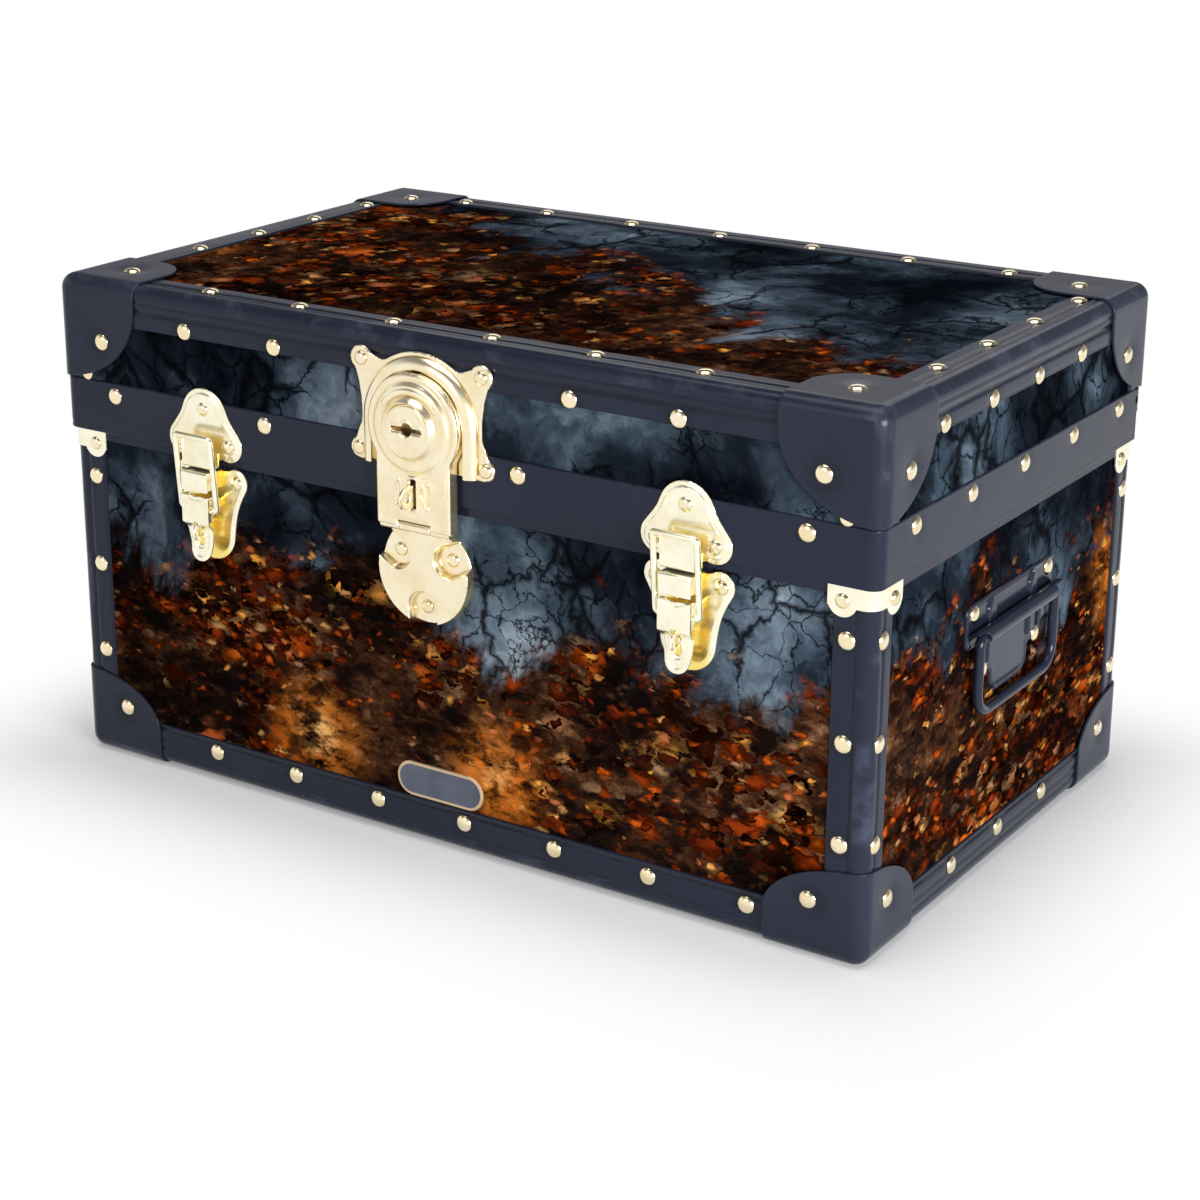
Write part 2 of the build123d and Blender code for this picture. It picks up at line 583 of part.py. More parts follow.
    place = Pos(at_x, 0, 0)
    parts[f"latch_{name}_strike"] = place * strike
    parts[f"latch_{name}_plate"] = place * plate
    parts[f"latch_{name}_lever"] = place * lever
    parts[f"latch_{name}_bail"] = place * bail
    print("latch", name, "pivot w, z", pivot, "bail pivot", bail_pivot)
    return place * pin


# Lock

def make_lock():
    """A hasp lock: arched plate on the lid, hinged hasp with its lock, disc plate with a staple below."""
    face = LID_FRONT
    plate_face = face + LATCH_SHEET
    stack = LATCH_SHEET + SHEET
    c = LOCK_Z
    shift = Pos(LOCK_X, 0, 0)

    # plate on the lid
    arch_in = LOCK_HEAD_R + 0.6
    arch_out = arch_in + ARCH_WALL
    plate_half = arch_out + 2.0
    upper_ear = (LOCK_HEAD_R + LOCK_EAR_OUT, LOCK_HEAD_R + 1.5)
    lower_ear = (upper_ear[0] + 2.2, -18.4)
    low = SPLIT_Z + SPLIT_GAP + 0.2
    outline = disc2(0, c, plate_half) & block2(-99, 99, c, 999)
    outline = outline + block2(-plate_half, plate_half, low + 1.4, c + 17)
    for sx in (1, -1):
        tip = disc2(sx * upper_ear[0], c + upper_ear[1], LOCK_EAR_R)
        outline = outline + hull(tip, disc2(sx * (LOCK_HEAD_R - 1.6), c + 17, 10.0))
        outline = outline + disc2(sx * lower_ear[0], c + lower_ear[1], 5.6)
        for out, up in (upper_ear, lower_ear):
            front_rivet(lid_rivets, LOCK_X + sx * out, c + up, plate_face, stack, SMALL_RIVET_R)
    arch = (disc2(0, c, arch_out) - disc2(0, c, arch_in)) & block2(-99, 99, c, 999)
    for sx in (1, -1):
        leg_at = Pos(sx * (arch_in + ARCH_WALL / 2), (c + low + 1.4) / 2)
        arch = arch + leg_at * Rectangle(ARCH_WALL, c - low - 1.4)
    plate = on_front(outline, face, plate_face) + on_front(arch, plate_face, plate_face + ARCH_RISE)
    tab_low, tab_high = c + 13.0, c + 22.0
    tab = block2(plate_face, plate_face + 4.6, tab_low, tab_high)
    bolt_z = c + 17.5
    bolt_w = plate_face + 2.5
    window = block2(bolt_w - 1.9, bolt_w + 1.4, bolt_z - 2.1, bolt_z + 2.1)
    plate = plate + side_profile(tab, -1.2, 1.2) - side_profile(window, -2, 2)
    parts["lock_lid_plate"] = shift * plate

    # hasp: a shallow tray with raised rings, a keyhole and a slot for the staple
    back = plate_face + 0.8
    front = face + 9.4
    head = LOCK_HEAD_R
    t = HASP_SHEET
    barrel = (front - 3.2, SPLIT_Z - HASP_BARREL_DOWN)
    tray = on_front(disc2(0, c, head) + block2(-NECK_HALF, NECK_HALF, barrel[1], c), back, front)
    hollow = on_front(
        disc2(0, c, head - t) + block2(-NECK_HALF + t, NECK_HALF - t, barrel[1] - 9, c), back - 9, front - t)
    rings = on_front(disc2(0, c, 22.5), front - t, front + 2.5)
    rings = rings + on_front(disc2(0, c, 15.5), front, front + 6.5)
    under = on_front(disc2(0, c, 21.1), front - 2 * t, front + 2.5 - t)
    under = under + on_front(disc2(0, c, 14.1), front, front + 6.5 - t)
    hasp = tray + rings - hollow - under
    key = disc2(0, c, 3.3) + block2(-9.5, 9.5, c - 1.1, c + 1.1)
    slot_low, slot_high = barrel[1] + 11.2, barrel[1] + 26.5
    openings = key + block2(-1.7, 1.7, slot_low, slot_high)
    hasp = hasp - on_front(openings, back, front + 9)
    hasp = hasp - on_front(block2(-3.2, 3.2, c + 20, c + 99), back - 1, plate_face + 5.2)
    knuckle_half = 10.0
    barrel_at = Pos(0, -barrel[0], barrel[1]) * Rot(0, 90, 0)
    hasp = hasp - slab(-knuckle_half - RUNNING, knuckle_half + RUNNING, -front - 1, -back + 9,
                       barrel[1] - 9, barrel[1] + 3.0)
    for sx in (1, -1):
        reach = NECK_HALF - 1.4 - knuckle_half - RUNNING
        middle = sx * (knuckle_half + RUNNING + reach / 2)
        hasp = hasp + Pos(middle, 0, 0) * barrel_at * Cylinder(HASP_BARREL_R, reach)
    hasp = hasp - barrel_at * Cylinder(PIVOT_R + RUNNING, 2 * NECK_HALF + 5)
    parts["lock_hasp"] = shift * hasp
    parts["lock_hinge_pin"] = shift * barrel_at * Cylinder(PIVOT_R, 2 * (NECK_HALF - t) - 0.8)

    # lock inside the hasp: case, turning tumbler and sliding bolt
    case_r = 24.0
    case = on_front(disc2(0, c, case_r), back + 0.4, front - t)
    drum_r = 10.0
    case = case - on_front(disc2(0, c, drum_r + 0.4), back, front)
    case = case - on_front(block2(-3.2, 3.2, c + 11.6, c + 99), back, plate_face + 5.2)
    rest_left = -17.0
    bolt_length = 13.0
    channel = block2(rest_left - 0.5, rest_left + bolt_length + BOLT_THROW + 1.0, bolt_z - 2.0, bolt_z + 2.0)
    case = case - on_front(channel, back, bolt_w + 1.6)
    parts["lock_case"] = shift * case
    drum = on_front(disc2(0, c, drum_r), back + 0.5, front - t - 0.3)
    drum = drum - on_front(disc2(0, c, 2.4) + block2(-7.5, 7.5, c - 1.0, c + 1.0), back + 2.5, front)
    parts["lock_tumbler"] = shift * drum
    bolt = block2(rest_left, rest_left + bolt_length, bolt_z - 1.6, bolt_z + 1.6)
    parts["lock_bolt"] = shift * on_front(bolt, bolt_w - 1.3, bolt_w + 1.2)

    # plate on the base: a dished disc with three sunk rivets, a strap and the padlock staple
    d = (0, SPLIT_Z - DISC_DOWN)
    base = BASE_FRONT
    rise = plate_face + 0.7
    disc = on_front(disc2(*d, DISC_R), base, rise) - on_front(disc2(*d, DISC_R - t), base - 1, rise - t)
    sunk = [(-16.8, d[1] + 8.9), (16.8, d[1] + 8.9), (0, d[1] - 19.9)]
    floor = base + LATCH_SHEET
    full = disc2(*d, DISC_R)
    for x, z in sunk:
        disc = disc + on_front(disc2(x, z, 9.8) & full, base, rise)
    for x, z in sunk:
        disc = disc - on_front(disc2(x, z, 8.4), floor, rise + 1)
        front_rivet(fitting_rivets, LOCK_X + x, z, floor, LATCH_SHEET, SMALL_RIVET_R)
    strap_low = d[1] + DISC_R - 4
    disc = disc + on_front(block2(-8, 8, strap_low, SPLIT_Z - 2.0), rise - t, rise)
    disc = disc + side_profile(
        disc2(*barrel, HASP_BARREL_R) + block2(rise - t, barrel[0], barrel[1] - HASP_BARREL_R, barrel[1]),
        -knuckle_half, knuckle_half)
    disc = disc - barrel_at * Cylinder(PIVOT_R + PRESS, 2 * knuckle_half + 1)
    eye = (front + 5.5, SPLIT_Z - 11.0)
    staple = block2(rise - t, eye[0], eye[1] - 6.0, eye[1] + 6.0) + disc2(*eye, 6.0) - disc2(*eye, 2.6)
    disc = disc + side_profile(staple, -0.8, 0.8)
    parts["lock_base_plate"] = shift * disc
    print("hasp barrel w, z", barrel, "bolt", (bolt_w, bolt_z), "reach", eye[0] + 6)
    return eye[0] + 6.0


# Handles

def make_handle():
    """The right-hand handle: a pressed plate with a hood, and a drop loop that turns in it."""
    face = BASE_X + HANDLE_SHEET
    z0 = SPLIT_Z - HANDLE_DOWN
    hood_in = HANDLE_ROD_R + HOOD_CLEAR
    hood_out = hood_in + HOOD_WALL
    axis = (face + hood_out - 0.2, z0)
    top = z0 + 18.0
    upper = block2(-HANDLE_PLATE_HALF, HANDLE_PLATE_HALF, z0 - 6, top)
    lower = hull(block2(-39, 39, z0 - 22, z0), Pos(0, z0 - 22.5) * Ellipse(37, 16.5))
    plate = on_end(fillet((upper + lower).vertices().group_by(Axis.Y)[-1], 5.0), BASE_X, face)
    for y in (-25.3, 25.3):
        plate = plate + on_end(block2(y - 4.7, y + 4.7, z0 - 19, z0 + 15), face, face + 1.6)
    hood_half = 52.0
    tube = Circle(hood_out) - Circle(hood_in)
    keep_long = Polygon((0, 0), (40, -33.6), (40, 40), (-40, 40), (-40, 0), align=None)
    keep_end = Polygon((0, 0), (18.8, 35.3), (18.8, 40), (-40, 40), (-40, 0), align=None)
    sections = ((keep_long, -42.0, 42.0), (keep_end, -hood_half, -41.9), (keep_end, 41.9, hood_half))
    back = block2(-hood_out, -hood_in + 0.4, -1.5, 0.5)
    for keep, y0, y1 in sections:
        plane = Plane(origin=(axis[0], y0, axis[1]), x_dir=(1, 0, 0), z_dir=(0, -1, 0))
        plate = plate + extrude(plane * ((tube & keep) + back), amount=y1 - y0, dir=(0, 1, 0))
    bore = Pos(axis[0], 0, axis[1]) * Rot(90, 0, 0) * Cylinder(hood_in, 2 * hood_half + 2)
    plate = plate - bore
    half = HANDLE_ROD_HALF
    low = z0 - HANDLE_DROP
    corners = [(-half, z0), (-half, low), (half, low), (half, z0)]
    loop = rod_loop([(axis[0], y, z) for y, z in corners], [4.5, 13.0, 13.0, 4.5], HANDLE_ROD_R)
    rivet_spots = [(45.5, z0 + 12.2), (33.4, z0 - 22.6)]
    print("handle axis x, z", axis)
    for sx, name in ((1, "right"), (-1, "left")):
        parts[f"handle_{name}_plate"] = mirrored(plate, sx, -1)
        parts[f"handle_{name}_loop"] = mirrored(loop, sx, -1)
        for sy in (1, -1):
            for y, z in rivet_spots:
                rivet(fitting_rivets, (sx * face, sy * y, z), (sx, 0, 0), HANDLE_SHEET)


def make_badge():
    """A blank badge on the front, under the lock."""
    outline = SlotOverall(BADGE_LENGTH, BADGE_HEIGHT)
    parts["badge_plate"] = on_front(Pos(0.5, BADGE_Z) * outline, BASE_FRONT, BASE_FRONT + BADGE_SHEET)


make_boards()
make_binding()
make_caps()
make_binding_rivets()
make_hinges()
parts["latch_pins"] = group([make_latch("left", -LATCH_X), make_latch("right", LATCH_X)])
front_reach = make_lock()
make_handle()
make_badge()

# Holes for the rivets, then the rivets themselves
for name in list(parts):
    if name.startswith("lid_"):
        parts[name] = drilled(parts[name], [lid_rivets])
    elif name.startswith(("base_", "rim_")):
        parts[name] = drilled(parts[name], [base_rivets, fitting_rivets])
    elif name.endswith("_strike") or name in ("lock_lid_plate", "hinge_lid_leaves"):
        parts[name] = drilled(parts[name], [lid_rivets])
    elif name.endswith("_plate") or name == "hinge_base_leaves":
        parts[name] = drilled(parts[name], [base_rivets, fitting_rivets])
parts["lid_rivets"] = group([body for body, _ in lid_rivets])
parts["base_rivets"] = group([body for body, _ in base_rivets])
parts["fitting_rivets"] = group([body for body, _ in fitting_rivets])

# The frame's origin lies on the floor under the middle of the whole outline, staple to hinge
back_reach = HINGE_Y + KNUCKLE_R
case_shift = (front_reach - back_reach) / 2
print("case shift", case_shift, "pieces", len(parts))

os.makedirs("parts", exist_ok=True)
for name, shape in parts.items():
    solids = (Pos(0, case_shift, 0) * shape).solids()
    export_step(solids[0] if len(solids) == 1 else Compound(children=solids), f"parts/{name}.step")
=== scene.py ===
# %% [markdown]
# # A tuck box in Blender
# The box is a small travelling trunk: plywood boards faced with a print, painted sheet metal on every
# edge, pressed corner caps, domed rivets, and brass locks and latches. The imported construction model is
# loaded first and used as a fixed frame. Every new piece is built in the same place, in metres.

# %% Load the frame
import math

import bmesh
import bpy
import numpy as np
from mathutils import Matrix


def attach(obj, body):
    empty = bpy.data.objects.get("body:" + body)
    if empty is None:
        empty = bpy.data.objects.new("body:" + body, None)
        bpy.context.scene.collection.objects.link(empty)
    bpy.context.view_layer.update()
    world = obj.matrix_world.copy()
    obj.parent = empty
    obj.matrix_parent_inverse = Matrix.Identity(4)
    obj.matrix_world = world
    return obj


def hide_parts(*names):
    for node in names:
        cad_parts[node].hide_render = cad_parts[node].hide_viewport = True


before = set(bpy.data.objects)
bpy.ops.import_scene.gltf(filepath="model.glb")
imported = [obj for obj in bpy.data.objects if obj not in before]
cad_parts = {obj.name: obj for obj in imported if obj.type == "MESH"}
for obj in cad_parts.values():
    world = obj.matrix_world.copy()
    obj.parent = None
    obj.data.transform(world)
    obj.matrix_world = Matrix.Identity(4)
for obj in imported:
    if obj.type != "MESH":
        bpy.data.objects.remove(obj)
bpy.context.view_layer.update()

# %% [markdown]
# The box was drawn in millimetres with Y = 0 in the middle of the case. The frame's Y = 0 is the middle
# of the whole outline, from the padlock staple to the back hinges, so it lies a little further forward.
# The sizes are half widths of the boards, heights over the floor, and the planes that plates lie on.

# %% Units and the case's sizes
MM = 0.001
CASE_SHIFT = 7.3
LID_X, LID_Y, LID_TOP = 257.2, 158.2, 284.2
BASE_X, BASE_Y, BASE_BOTTOM = 254.7, 155.7, 2.8
CASE_TOP = 287.0
NOSE = 5.8
SHEET = 1.4
LATCH_AT, LOCK_AT, LOCK_Z = 154.0, -5.0, 238.5
LID_REAR, BASE_REAR = 159.65, 155.75


def to_frame(points):
    """Case millimetres to frame metres: add the shift along Y, then scale."""
    return (np.asarray(points, float) + (0.0, CASE_SHIFT, 0.0)) * MM


print("lid", LID_X * 2, LID_Y * 2, "base", BASE_X * 2, BASE_Y * 2)

# %% [markdown]
# The camera stands where the photographer stood. Its place, turn and focal length came from fitting the
# case's straight edges, so lines in the render fall on the lines of the photograph.

# %% Camera
AZIMUTH, ELEVATION, ROLL = math.radians(34.2), math.radians(18.24), math.radians(-0.09)
STAND = (0.7642, -1.1766, 0.5999)
SENSOR, FOCAL = 36.0, 77.43
SHIFT_X, SHIFT_Y = 0.04995, -0.0541
back = np.array([math.sin(AZIMUTH) * math.cos(ELEVATION),
                 -math.cos(AZIMUTH) * math.cos(ELEVATION), math.sin(ELEVATION)])
level = np.array([math.cos(AZIMUTH), math.sin(AZIMUTH), 0.0])
upward = np.cross(back, level)
right = math.cos(ROLL) * level + math.sin(ROLL) * upward
up = math.cos(ROLL) * upward - math.sin(ROLL) * level
lens = bpy.data.cameras.new("camera")
lens.sensor_width = SENSOR
lens.lens = FOCAL
lens.shift_x = SHIFT_X
lens.shift_y = SHIFT_Y
camera = bpy.data.objects.new("camera", lens)
camera.matrix_world = Matrix([[right[i], up[i], back[i], STAND[i]] for i in range(3)] + [[0, 0, 0, 1]])
bpy.context.scene.collection.objects.link(camera)
bpy.context.scene.camera = camera
bpy.context.scene.view_settings.view_transform = "Standard"
print("camera at", tuple(round(v, 3) for v in camera.location))

# %% [markdown]
# A shader is a small circuit. A few helpers keep each circuit short to read: one puts a node down and
# wires its inputs, and the others name the nodes used most. Plain numbers go on the sockets themselves.

# %% Shader helpers
def put(tree, kind, inputs=None, **settings):
    """A node with its settings, whose inputs are numbers or other nodes' sockets."""
    made = tree.nodes.new(kind)
    for key, value in settings.items():
        setattr(made, key, value)
    for key, value in (inputs or {}).items():
        if isinstance(value, bpy.types.NodeSocket):
            tree.links.new(value, made.inputs[key])
        else:
            made.inputs[key].default_value = value
    return made


def calc(tree, operation, *values, clamp=False):
    """One arithmetic step; gives its result."""
    step = put(tree, "ShaderNodeMath", dict(enumerate(values)), operation=operation, use_clamp=clamp)
    return step.outputs[0]


def blend(tree, factor, first, second, mode="MIX"):
    """Two colours mixed by a factor; gives the colour."""
    mixer = put(tree, "ShaderNodeMix", {0: factor, 6: first, 7: second}, data_type="RGBA", blend_type=mode)
    return mixer.outputs[2]


def band(tree, value, low, high, out_low=0.0, out_high=1.0):
    """A value carried from one range to another with soft ends."""
    ranged = put(tree, "ShaderNodeMapRange", {0: value, 1: low, 2: high, 3: out_low, 4: out_high},
                 interpolation_type="SMOOTHSTEP")
    return ranged.outputs[0]


def ramp(tree, value, *stops):
    """A colour band: pairs of place and colour."""
    made = put(tree, "ShaderNodeValToRGB", {0: value})
    strip = made.color_ramp
    while len(strip.elements) < len(stops):
        strip.elements.new(0.5)
    for element, (place, colour) in zip(strip.elements, stops):
        element.position = place
        element.color = (*colour, 1.0)
    return made.outputs[0]


def noise(tree, where, scale, detail=4.0, rough=0.5, twist=0.0):
    """Cloudy noise, 0 to 1."""
    return put(tree, "ShaderNodeTexNoise", {"Vector": where, "Scale": scale, "Detail": detail,
                                            "Roughness": rough, "Distortion": twist}).outputs[0]


def object_place(tree):
    """Where a point lies in the object's own coordinates."""
    return put(tree, "ShaderNodeTexCoord").outputs["Object"]


def axes(tree, where):
    """A place's x, y and z."""
    return put(tree, "ShaderNodeSeparateXYZ", {0: where}).outputs


def moved(tree, where, scale, turn=(0.0, 0.0, 0.0)):
    """A place turned and stretched."""
    return put(tree, "ShaderNodeMapping", {"Vector": where, "Scale": scale, "Rotation": turn}).outputs[0]


def mix_value(tree, factor, first, second):
    """Two numbers mixed by a factor."""
    return put(tree, "ShaderNodeMix", {0: factor, 2: first, 3: second}, data_type="FLOAT").outputs[0]


def beyond(tree, value, half):
    """How far a value lies outside plus or minus half; below zero inside."""
    return calc(tree, "SUBTRACT", calc(tree, "ABSOLUTE", value), half)


def length(tree, first, second):
    """The long side of a right triangle."""
    squares = [calc(tree, "MULTIPLY", side, side) for side in (first, second)]
    return calc(tree, "SQRT", calc(tree, "ADD", *squares))


def sharp_rays(tree):
    """1 for camera, glossy and transmission rays, 0 for the rest, with the camera's own answer."""
    ray = put(tree, "ShaderNodeLightPath").outputs
    mirrored_ray = calc(tree, "MAXIMUM", ray["Is Glossy Ray"], ray["Is Transmission Ray"])
    return calc(tree, "MAXIMUM", ray["Is Camera Ray"], mirrored_ray), ray["Is Camera Ray"]


def solid(colour, factor=1.0):
    """A colour for a socket, with full alpha, made darker or lighter by a factor."""
    return (*np.multiply(colour, factor), 1.0)


def new_material(name):
    """An empty material with its Principled shader."""
    material = bpy.data.materials.new(name)
    material.use_nodes = True
    return material, material.node_tree, material.node_tree.nodes["Principled BSDF"]


def new_group(name, inputs, outputs):
    """A shader node group with named inputs and outputs; gives it with its two ends."""
    group = bpy.data.node_groups.new(name, "ShaderNodeTree")
    for label, kind, value in inputs:
        socket = group.interface.new_socket(name=label, in_out="INPUT", socket_type=kind)
        if value is not None:
            socket.default_value = value
    for label, kind in outputs:
        group.interface.new_socket(name=label, in_out="OUTPUT", socket_type=kind)
    return group, group.nodes.new("NodeGroupInput"), group.nodes.new("NodeGroupOutput")


FLOAT, COLOUR, VECTOR = "NodeSocketFloat", "NodeSocketColor", "NodeSocketVector"
print("helpers ready")

# %% [markdown]
# Metal that is handled picks up fine scratches, soft dents and a film of grime where cloths don't
# reach. All painted and plated pieces share this, so it is one node group. Each piece's mesh carries a
# value from -1 in a crease to 1 on a crest, and the group reads it. Its crease mask is grime and also
# painted shade in the creases; its crest mask is rubbing and also a painted highlight on the crests.

# %% Wear group
wear, wear_in, wear_out = new_group(
    "handled_metal",
    [("Scratch Scale", FLOAT, 1.0), ("Roughness", FLOAT, 0.3), ("Spread", FLOAT, 0.1), ("Dents", FLOAT, 0.1)],
    [("Grime and Shade", FLOAT), ("Crest", FLOAT), ("Roughness", FLOAT), ("Normal", VECTOR)])
place = object_place(wear)
wear_and_shade = put(wear, "ShaderNodeAttribute", attribute_name="wear_and_shade").outputs["Fac"]
cloudy = noise(wear, place, 38.0, 5.0, 0.6)
streaks_at = moved(wear, place, (60.0, 60.0, 900.0), (0.3, 0.5, 0.2))
streaks = noise(wear, streaks_at, wear_in.outputs["Scratch Scale"], 3.0, 0.6)
specks = noise(wear, place, 1900.0, 2.0, 0.5)
# Painted light: the crease mask darkens creases as painted shade as well as grime, and the crest mask pales
# crests as a painted highlight as well as rubbing.
low_spot = band(wear, wear_and_shade, -0.1, -0.9)
grime_and_shade = calc(wear, "MULTIPLY", low_spot, band(wear, cloudy, 0.25, 0.7), clamp=True)
crest = calc(wear, "MULTIPLY", band(wear, wear_and_shade, 0.25, 1.0), band(wear, cloudy, 0.5, 0.72), clamp=True)
varied = calc(wear, "MULTIPLY_ADD", calc(wear, "SUBTRACT", cloudy, 0.5), wear_in.outputs["Spread"],
              wear_in.outputs["Roughness"])
scratched = calc(wear, "MULTIPLY_ADD", band(wear, streaks, 0.6, 0.75), 0.08, varied)
relief = calc(wear, "MULTIPLY_ADD", specks, 0.012, cloudy)
relief = calc(wear, "MULTIPLY_ADD", streaks, 0.12, relief)
bump = put(wear, "ShaderNodeBump", {"Strength": wear_in.outputs["Dents"], "Distance": 0.0006,
                                    "Height": relief})
for socket, value in enumerate((grime_and_shade, crest, scratched, bump.outputs[0])):
    wear.links.new(value, wear_out.inputs[socket])


def handled(tree, shader, scratches, roughness, spread, dents):
    """The wear group on a shader's roughness and normal; gives its outputs, for the masks."""
    used = put(tree, "ShaderNodeGroup", {"Scratch Scale": scratches, "Roughness": roughness, "Spread": spread,
                                         "Dents": dents}, node_tree=wear).outputs
    tree.links.new(used["Roughness"], shader.inputs["Roughness"])
    tree.links.new(used["Normal"], shader.inputs["Normal"])
    return used


print("group", wear.name, len(wear.nodes), "nodes")

# %% [markdown]
# The binding, band, caps and handles are steel with a dark navy enamel. It is satin, so lamps show as
# soft streaks along the bends. The crests are paler from rubbing and a painted highlight, and the creases
# darker from grime and painted shade.

# %% Painted steel
def painted(name, colour, crest_colour, roughness, coat, dents):
    """Enamel on steel: one colour, paler on the crests from rubbing and a painted highlight, darker in the
    creases from grime and painted shade, under a thin clear coat.
    """
    material, tree, shader = new_material(name)
    masks = handled(tree, shader, 1.0, roughness, 0.16, dents)
    cloud = band(tree, noise(tree, object_place(tree), 9.0, 3.0), 0.35, 0.7)
    tone = blend(tree, cloud, solid(colour), solid(colour, 1.25))
    # Crest colour: rubbed paint and a painted highlight. The darker colour in the creases: grime and painted
    # shade.
    tone = blend(tree, masks["Crest"], tone, solid(crest_colour))
    tone = blend(tree, masks["Grime and Shade"], tone, solid(colour, 0.55))
    tree.links.new(tone, shader.inputs["Base Color"])
    shader.inputs["Specular IOR Level"].default_value = 0.13
    shader.inputs["Specular Tint"].default_value = (0.75, 0.81, 1.0, 1.0)
    shader.inputs["Coat Weight"].default_value = coat
    shader.inputs["Coat Roughness"].default_value = 0.12
    return material


navy = painted("navy_enamel", (0.0118, 0.0144, 0.0258), (0.040, 0.047, 0.073), 0.24, 0.16, 0.06)
navy_cap = painted("navy_cap_enamel", (0.0142, 0.0170, 0.0292), (0.044, 0.051, 0.077), 0.26, 0.17, 0.10)
handle_paint = painted("handle_enamel", (0.011, 0.0135, 0.026), (0.09, 0.10, 0.14), 0.17, 0.32, 0.05)
print("enamels", navy.name, navy_cap.name, handle_paint.name)

# %% [markdown]
# The locks, latches and rivets are steel with a thin bright brass plate. A metallic shader with a pale
# gold colour gives the cream highlights. The creases keep a deeper yellow from grime, with painted shade and
# a painted reflection of one brass face in another, and the crests are paler from rubbing and a painted
# highlight.

# %% Brass
def behind_levers(tree, where):
    """Mask for painted shade and reflection: 1 on the latch plates low down behind the levers, 0 elsewhere,
    with soft borders.
    """
    x, y, z = axes(tree, where)
    across = calc(tree, "ABSOLUTE", beyond(tree, x, LATCH_AT * MM))
    out = calc(tree, "SUBTRACT", CASE_SHIFT * MM, y)
    low_out = calc(tree, "MULTIPLY", band(tree, out, 163.5 * MM, 160.5 * MM),
                   band(tree, across, 15.0 * MM, 9.5 * MM))
    return calc(tree, "MULTIPLY", low_out, band(tree, z, 211.5 * MM, 205.5 * MM))


def plated(name, colour, crease, roughness, dents, metallic=1.0, shaded=False):
    """Bright brass plate: mostly metallic, with deeper colour in the creases from grime and painted shade,
    and paler crests from rubbing and a painted highlight. A shaded one is deeper too behind the latches'
    levers,
    where brass only sees brass: a painted reflection and shade."""
    material, tree, shader = new_material(name)
    masks = handled(tree, shader, 1.4, roughness, 0.14, dents)
    where = object_place(tree)
    cloud = band(tree, noise(tree, where, 60.0, 5.0, 0.6), 0.35, 0.75)
    tone = blend(tree, cloud, solid(colour), solid(colour, (0.93, 0.88, 0.76)))
    # Creases: grime and painted shade. Crests: rubbing and a painted highlight.
    tone = blend(tree, masks["Grime and Shade"], tone, solid(crease))
    tone = blend(tree, masks["Crest"], tone, (0.94, 0.86, 0.70, 1.0))
    # Painted reflection and shade of brass in brass, behind the levers.
    if shaded:
        tone = blend(tree, calc(tree, "MULTIPLY", behind_levers(tree, where), 0.85), tone, solid(crease))
    tree.links.new(tone, shader.inputs["Base Color"])
    shader.inputs["Metallic"].default_value = metallic
    return material


# The second colour of each is its crease colour: grime with painted shade and a painted reflection of brass
# in brass.
lock_brass = plated("pale_lock_plate", (0.95, 0.85, 0.62), (0.62, 0.41, 0.13), 0.22, 0.16, 0.94)
latch_brass = plated("pale_latch_plate", (0.99, 0.95, 0.77), (0.94, 0.71, 0.12), 0.20, 0.08, 0.88,
                     shaded=True)
rivet_brass = plated("rivet_plate", (0.94, 0.82, 0.56), (0.36, 0.24, 0.09), 0.12, 0.05)
hinge_brass = plated("hinge_plate", (0.80, 0.68, 0.44), (0.45, 0.30, 0.10), 0.34, 0.20)
print("brass", lock_brass.name, latch_brass.name, rivet_brass.name, hinge_brass.name)

# %% [markdown]
# The print on the boards is a made-up marbling in the colours of a cold evening over a dying fire:
# smoke in slate blue with fine dark cracks above, embers and rust below. Nothing in it is a picture.
# It is worked out in the object's own coordinates, so it stays put on the boards.

# %% Print groups
def stirred(tree, at, scale, amount):
    """A place pushed about by noise, so that straight borders turn ragged."""
    push = put(tree, "ShaderNodeTexNoise", {"Vector": at, "Scale": scale, "Detail": 6.0, "Roughness": 0.6})
    shift = put(tree, "ShaderNodeVectorMath", {0: push.outputs["Color"], 1: (-0.5,) * 3}, operation="ADD")
    return put(tree, "ShaderNodeVectorMath", {0: shift.outputs[0], 1: (amount,) * 3, 2: at},
               operation="MULTIPLY_ADD").outputs[0]


def cells(tree, at, scale, feature):
    """A Voronoi pattern's outputs."""
    return put(tree, "ShaderNodeTexVoronoi", {"Vector": at, "Scale": scale}, feature=feature).outputs


def crackle(tree, at, scale, width, fade):
    """Thin dark lines between the cells of a Voronoi pattern, wider where fade is high."""
    gap = cells(tree, at, scale, "DISTANCE_TO_EDGE")[0]
    return band(tree, gap, calc(tree, "MULTIPLY", fade, width), 0.0)


smoke, smoke_in, smoke_out = new_group("smoke", [("Place", VECTOR, None)], [("Colour", COLOUR)])
at = smoke_in.outputs["Place"]
loose = stirred(smoke, at, 12.0, 0.06)
billow = noise(smoke, loose, 8.0, 10.0, 0.62)
wisps = noise(smoke, loose, 30.0, 8.0, 0.66)
thick = calc(smoke, "MULTIPLY_ADD", calc(smoke, "SUBTRACT", wisps, 0.5), 0.30, billow)
sky = ramp(smoke, thick, (0.38, (0.003, 0.004, 0.007)), (0.48, (0.013, 0.019, 0.028)),
           (0.56, (0.052, 0.076, 0.104)), (0.64, (0.16, 0.21, 0.26)), (0.74, (0.50, 0.58, 0.64)))
width = band(smoke, noise(smoke, at, 14.0, 3.0), 0.40, 0.66)
lines = calc(smoke, "MAXIMUM", crackle(smoke, loose, 19.0, 0.11, width),
             crackle(smoke, loose, 47.0, 0.07, width))
sky = blend(smoke, calc(smoke, "MULTIPLY", lines, 0.94), sky, (0.003, 0.003, 0.004, 1.0))
smoke.links.new(sky, smoke_out.inputs["Colour"])


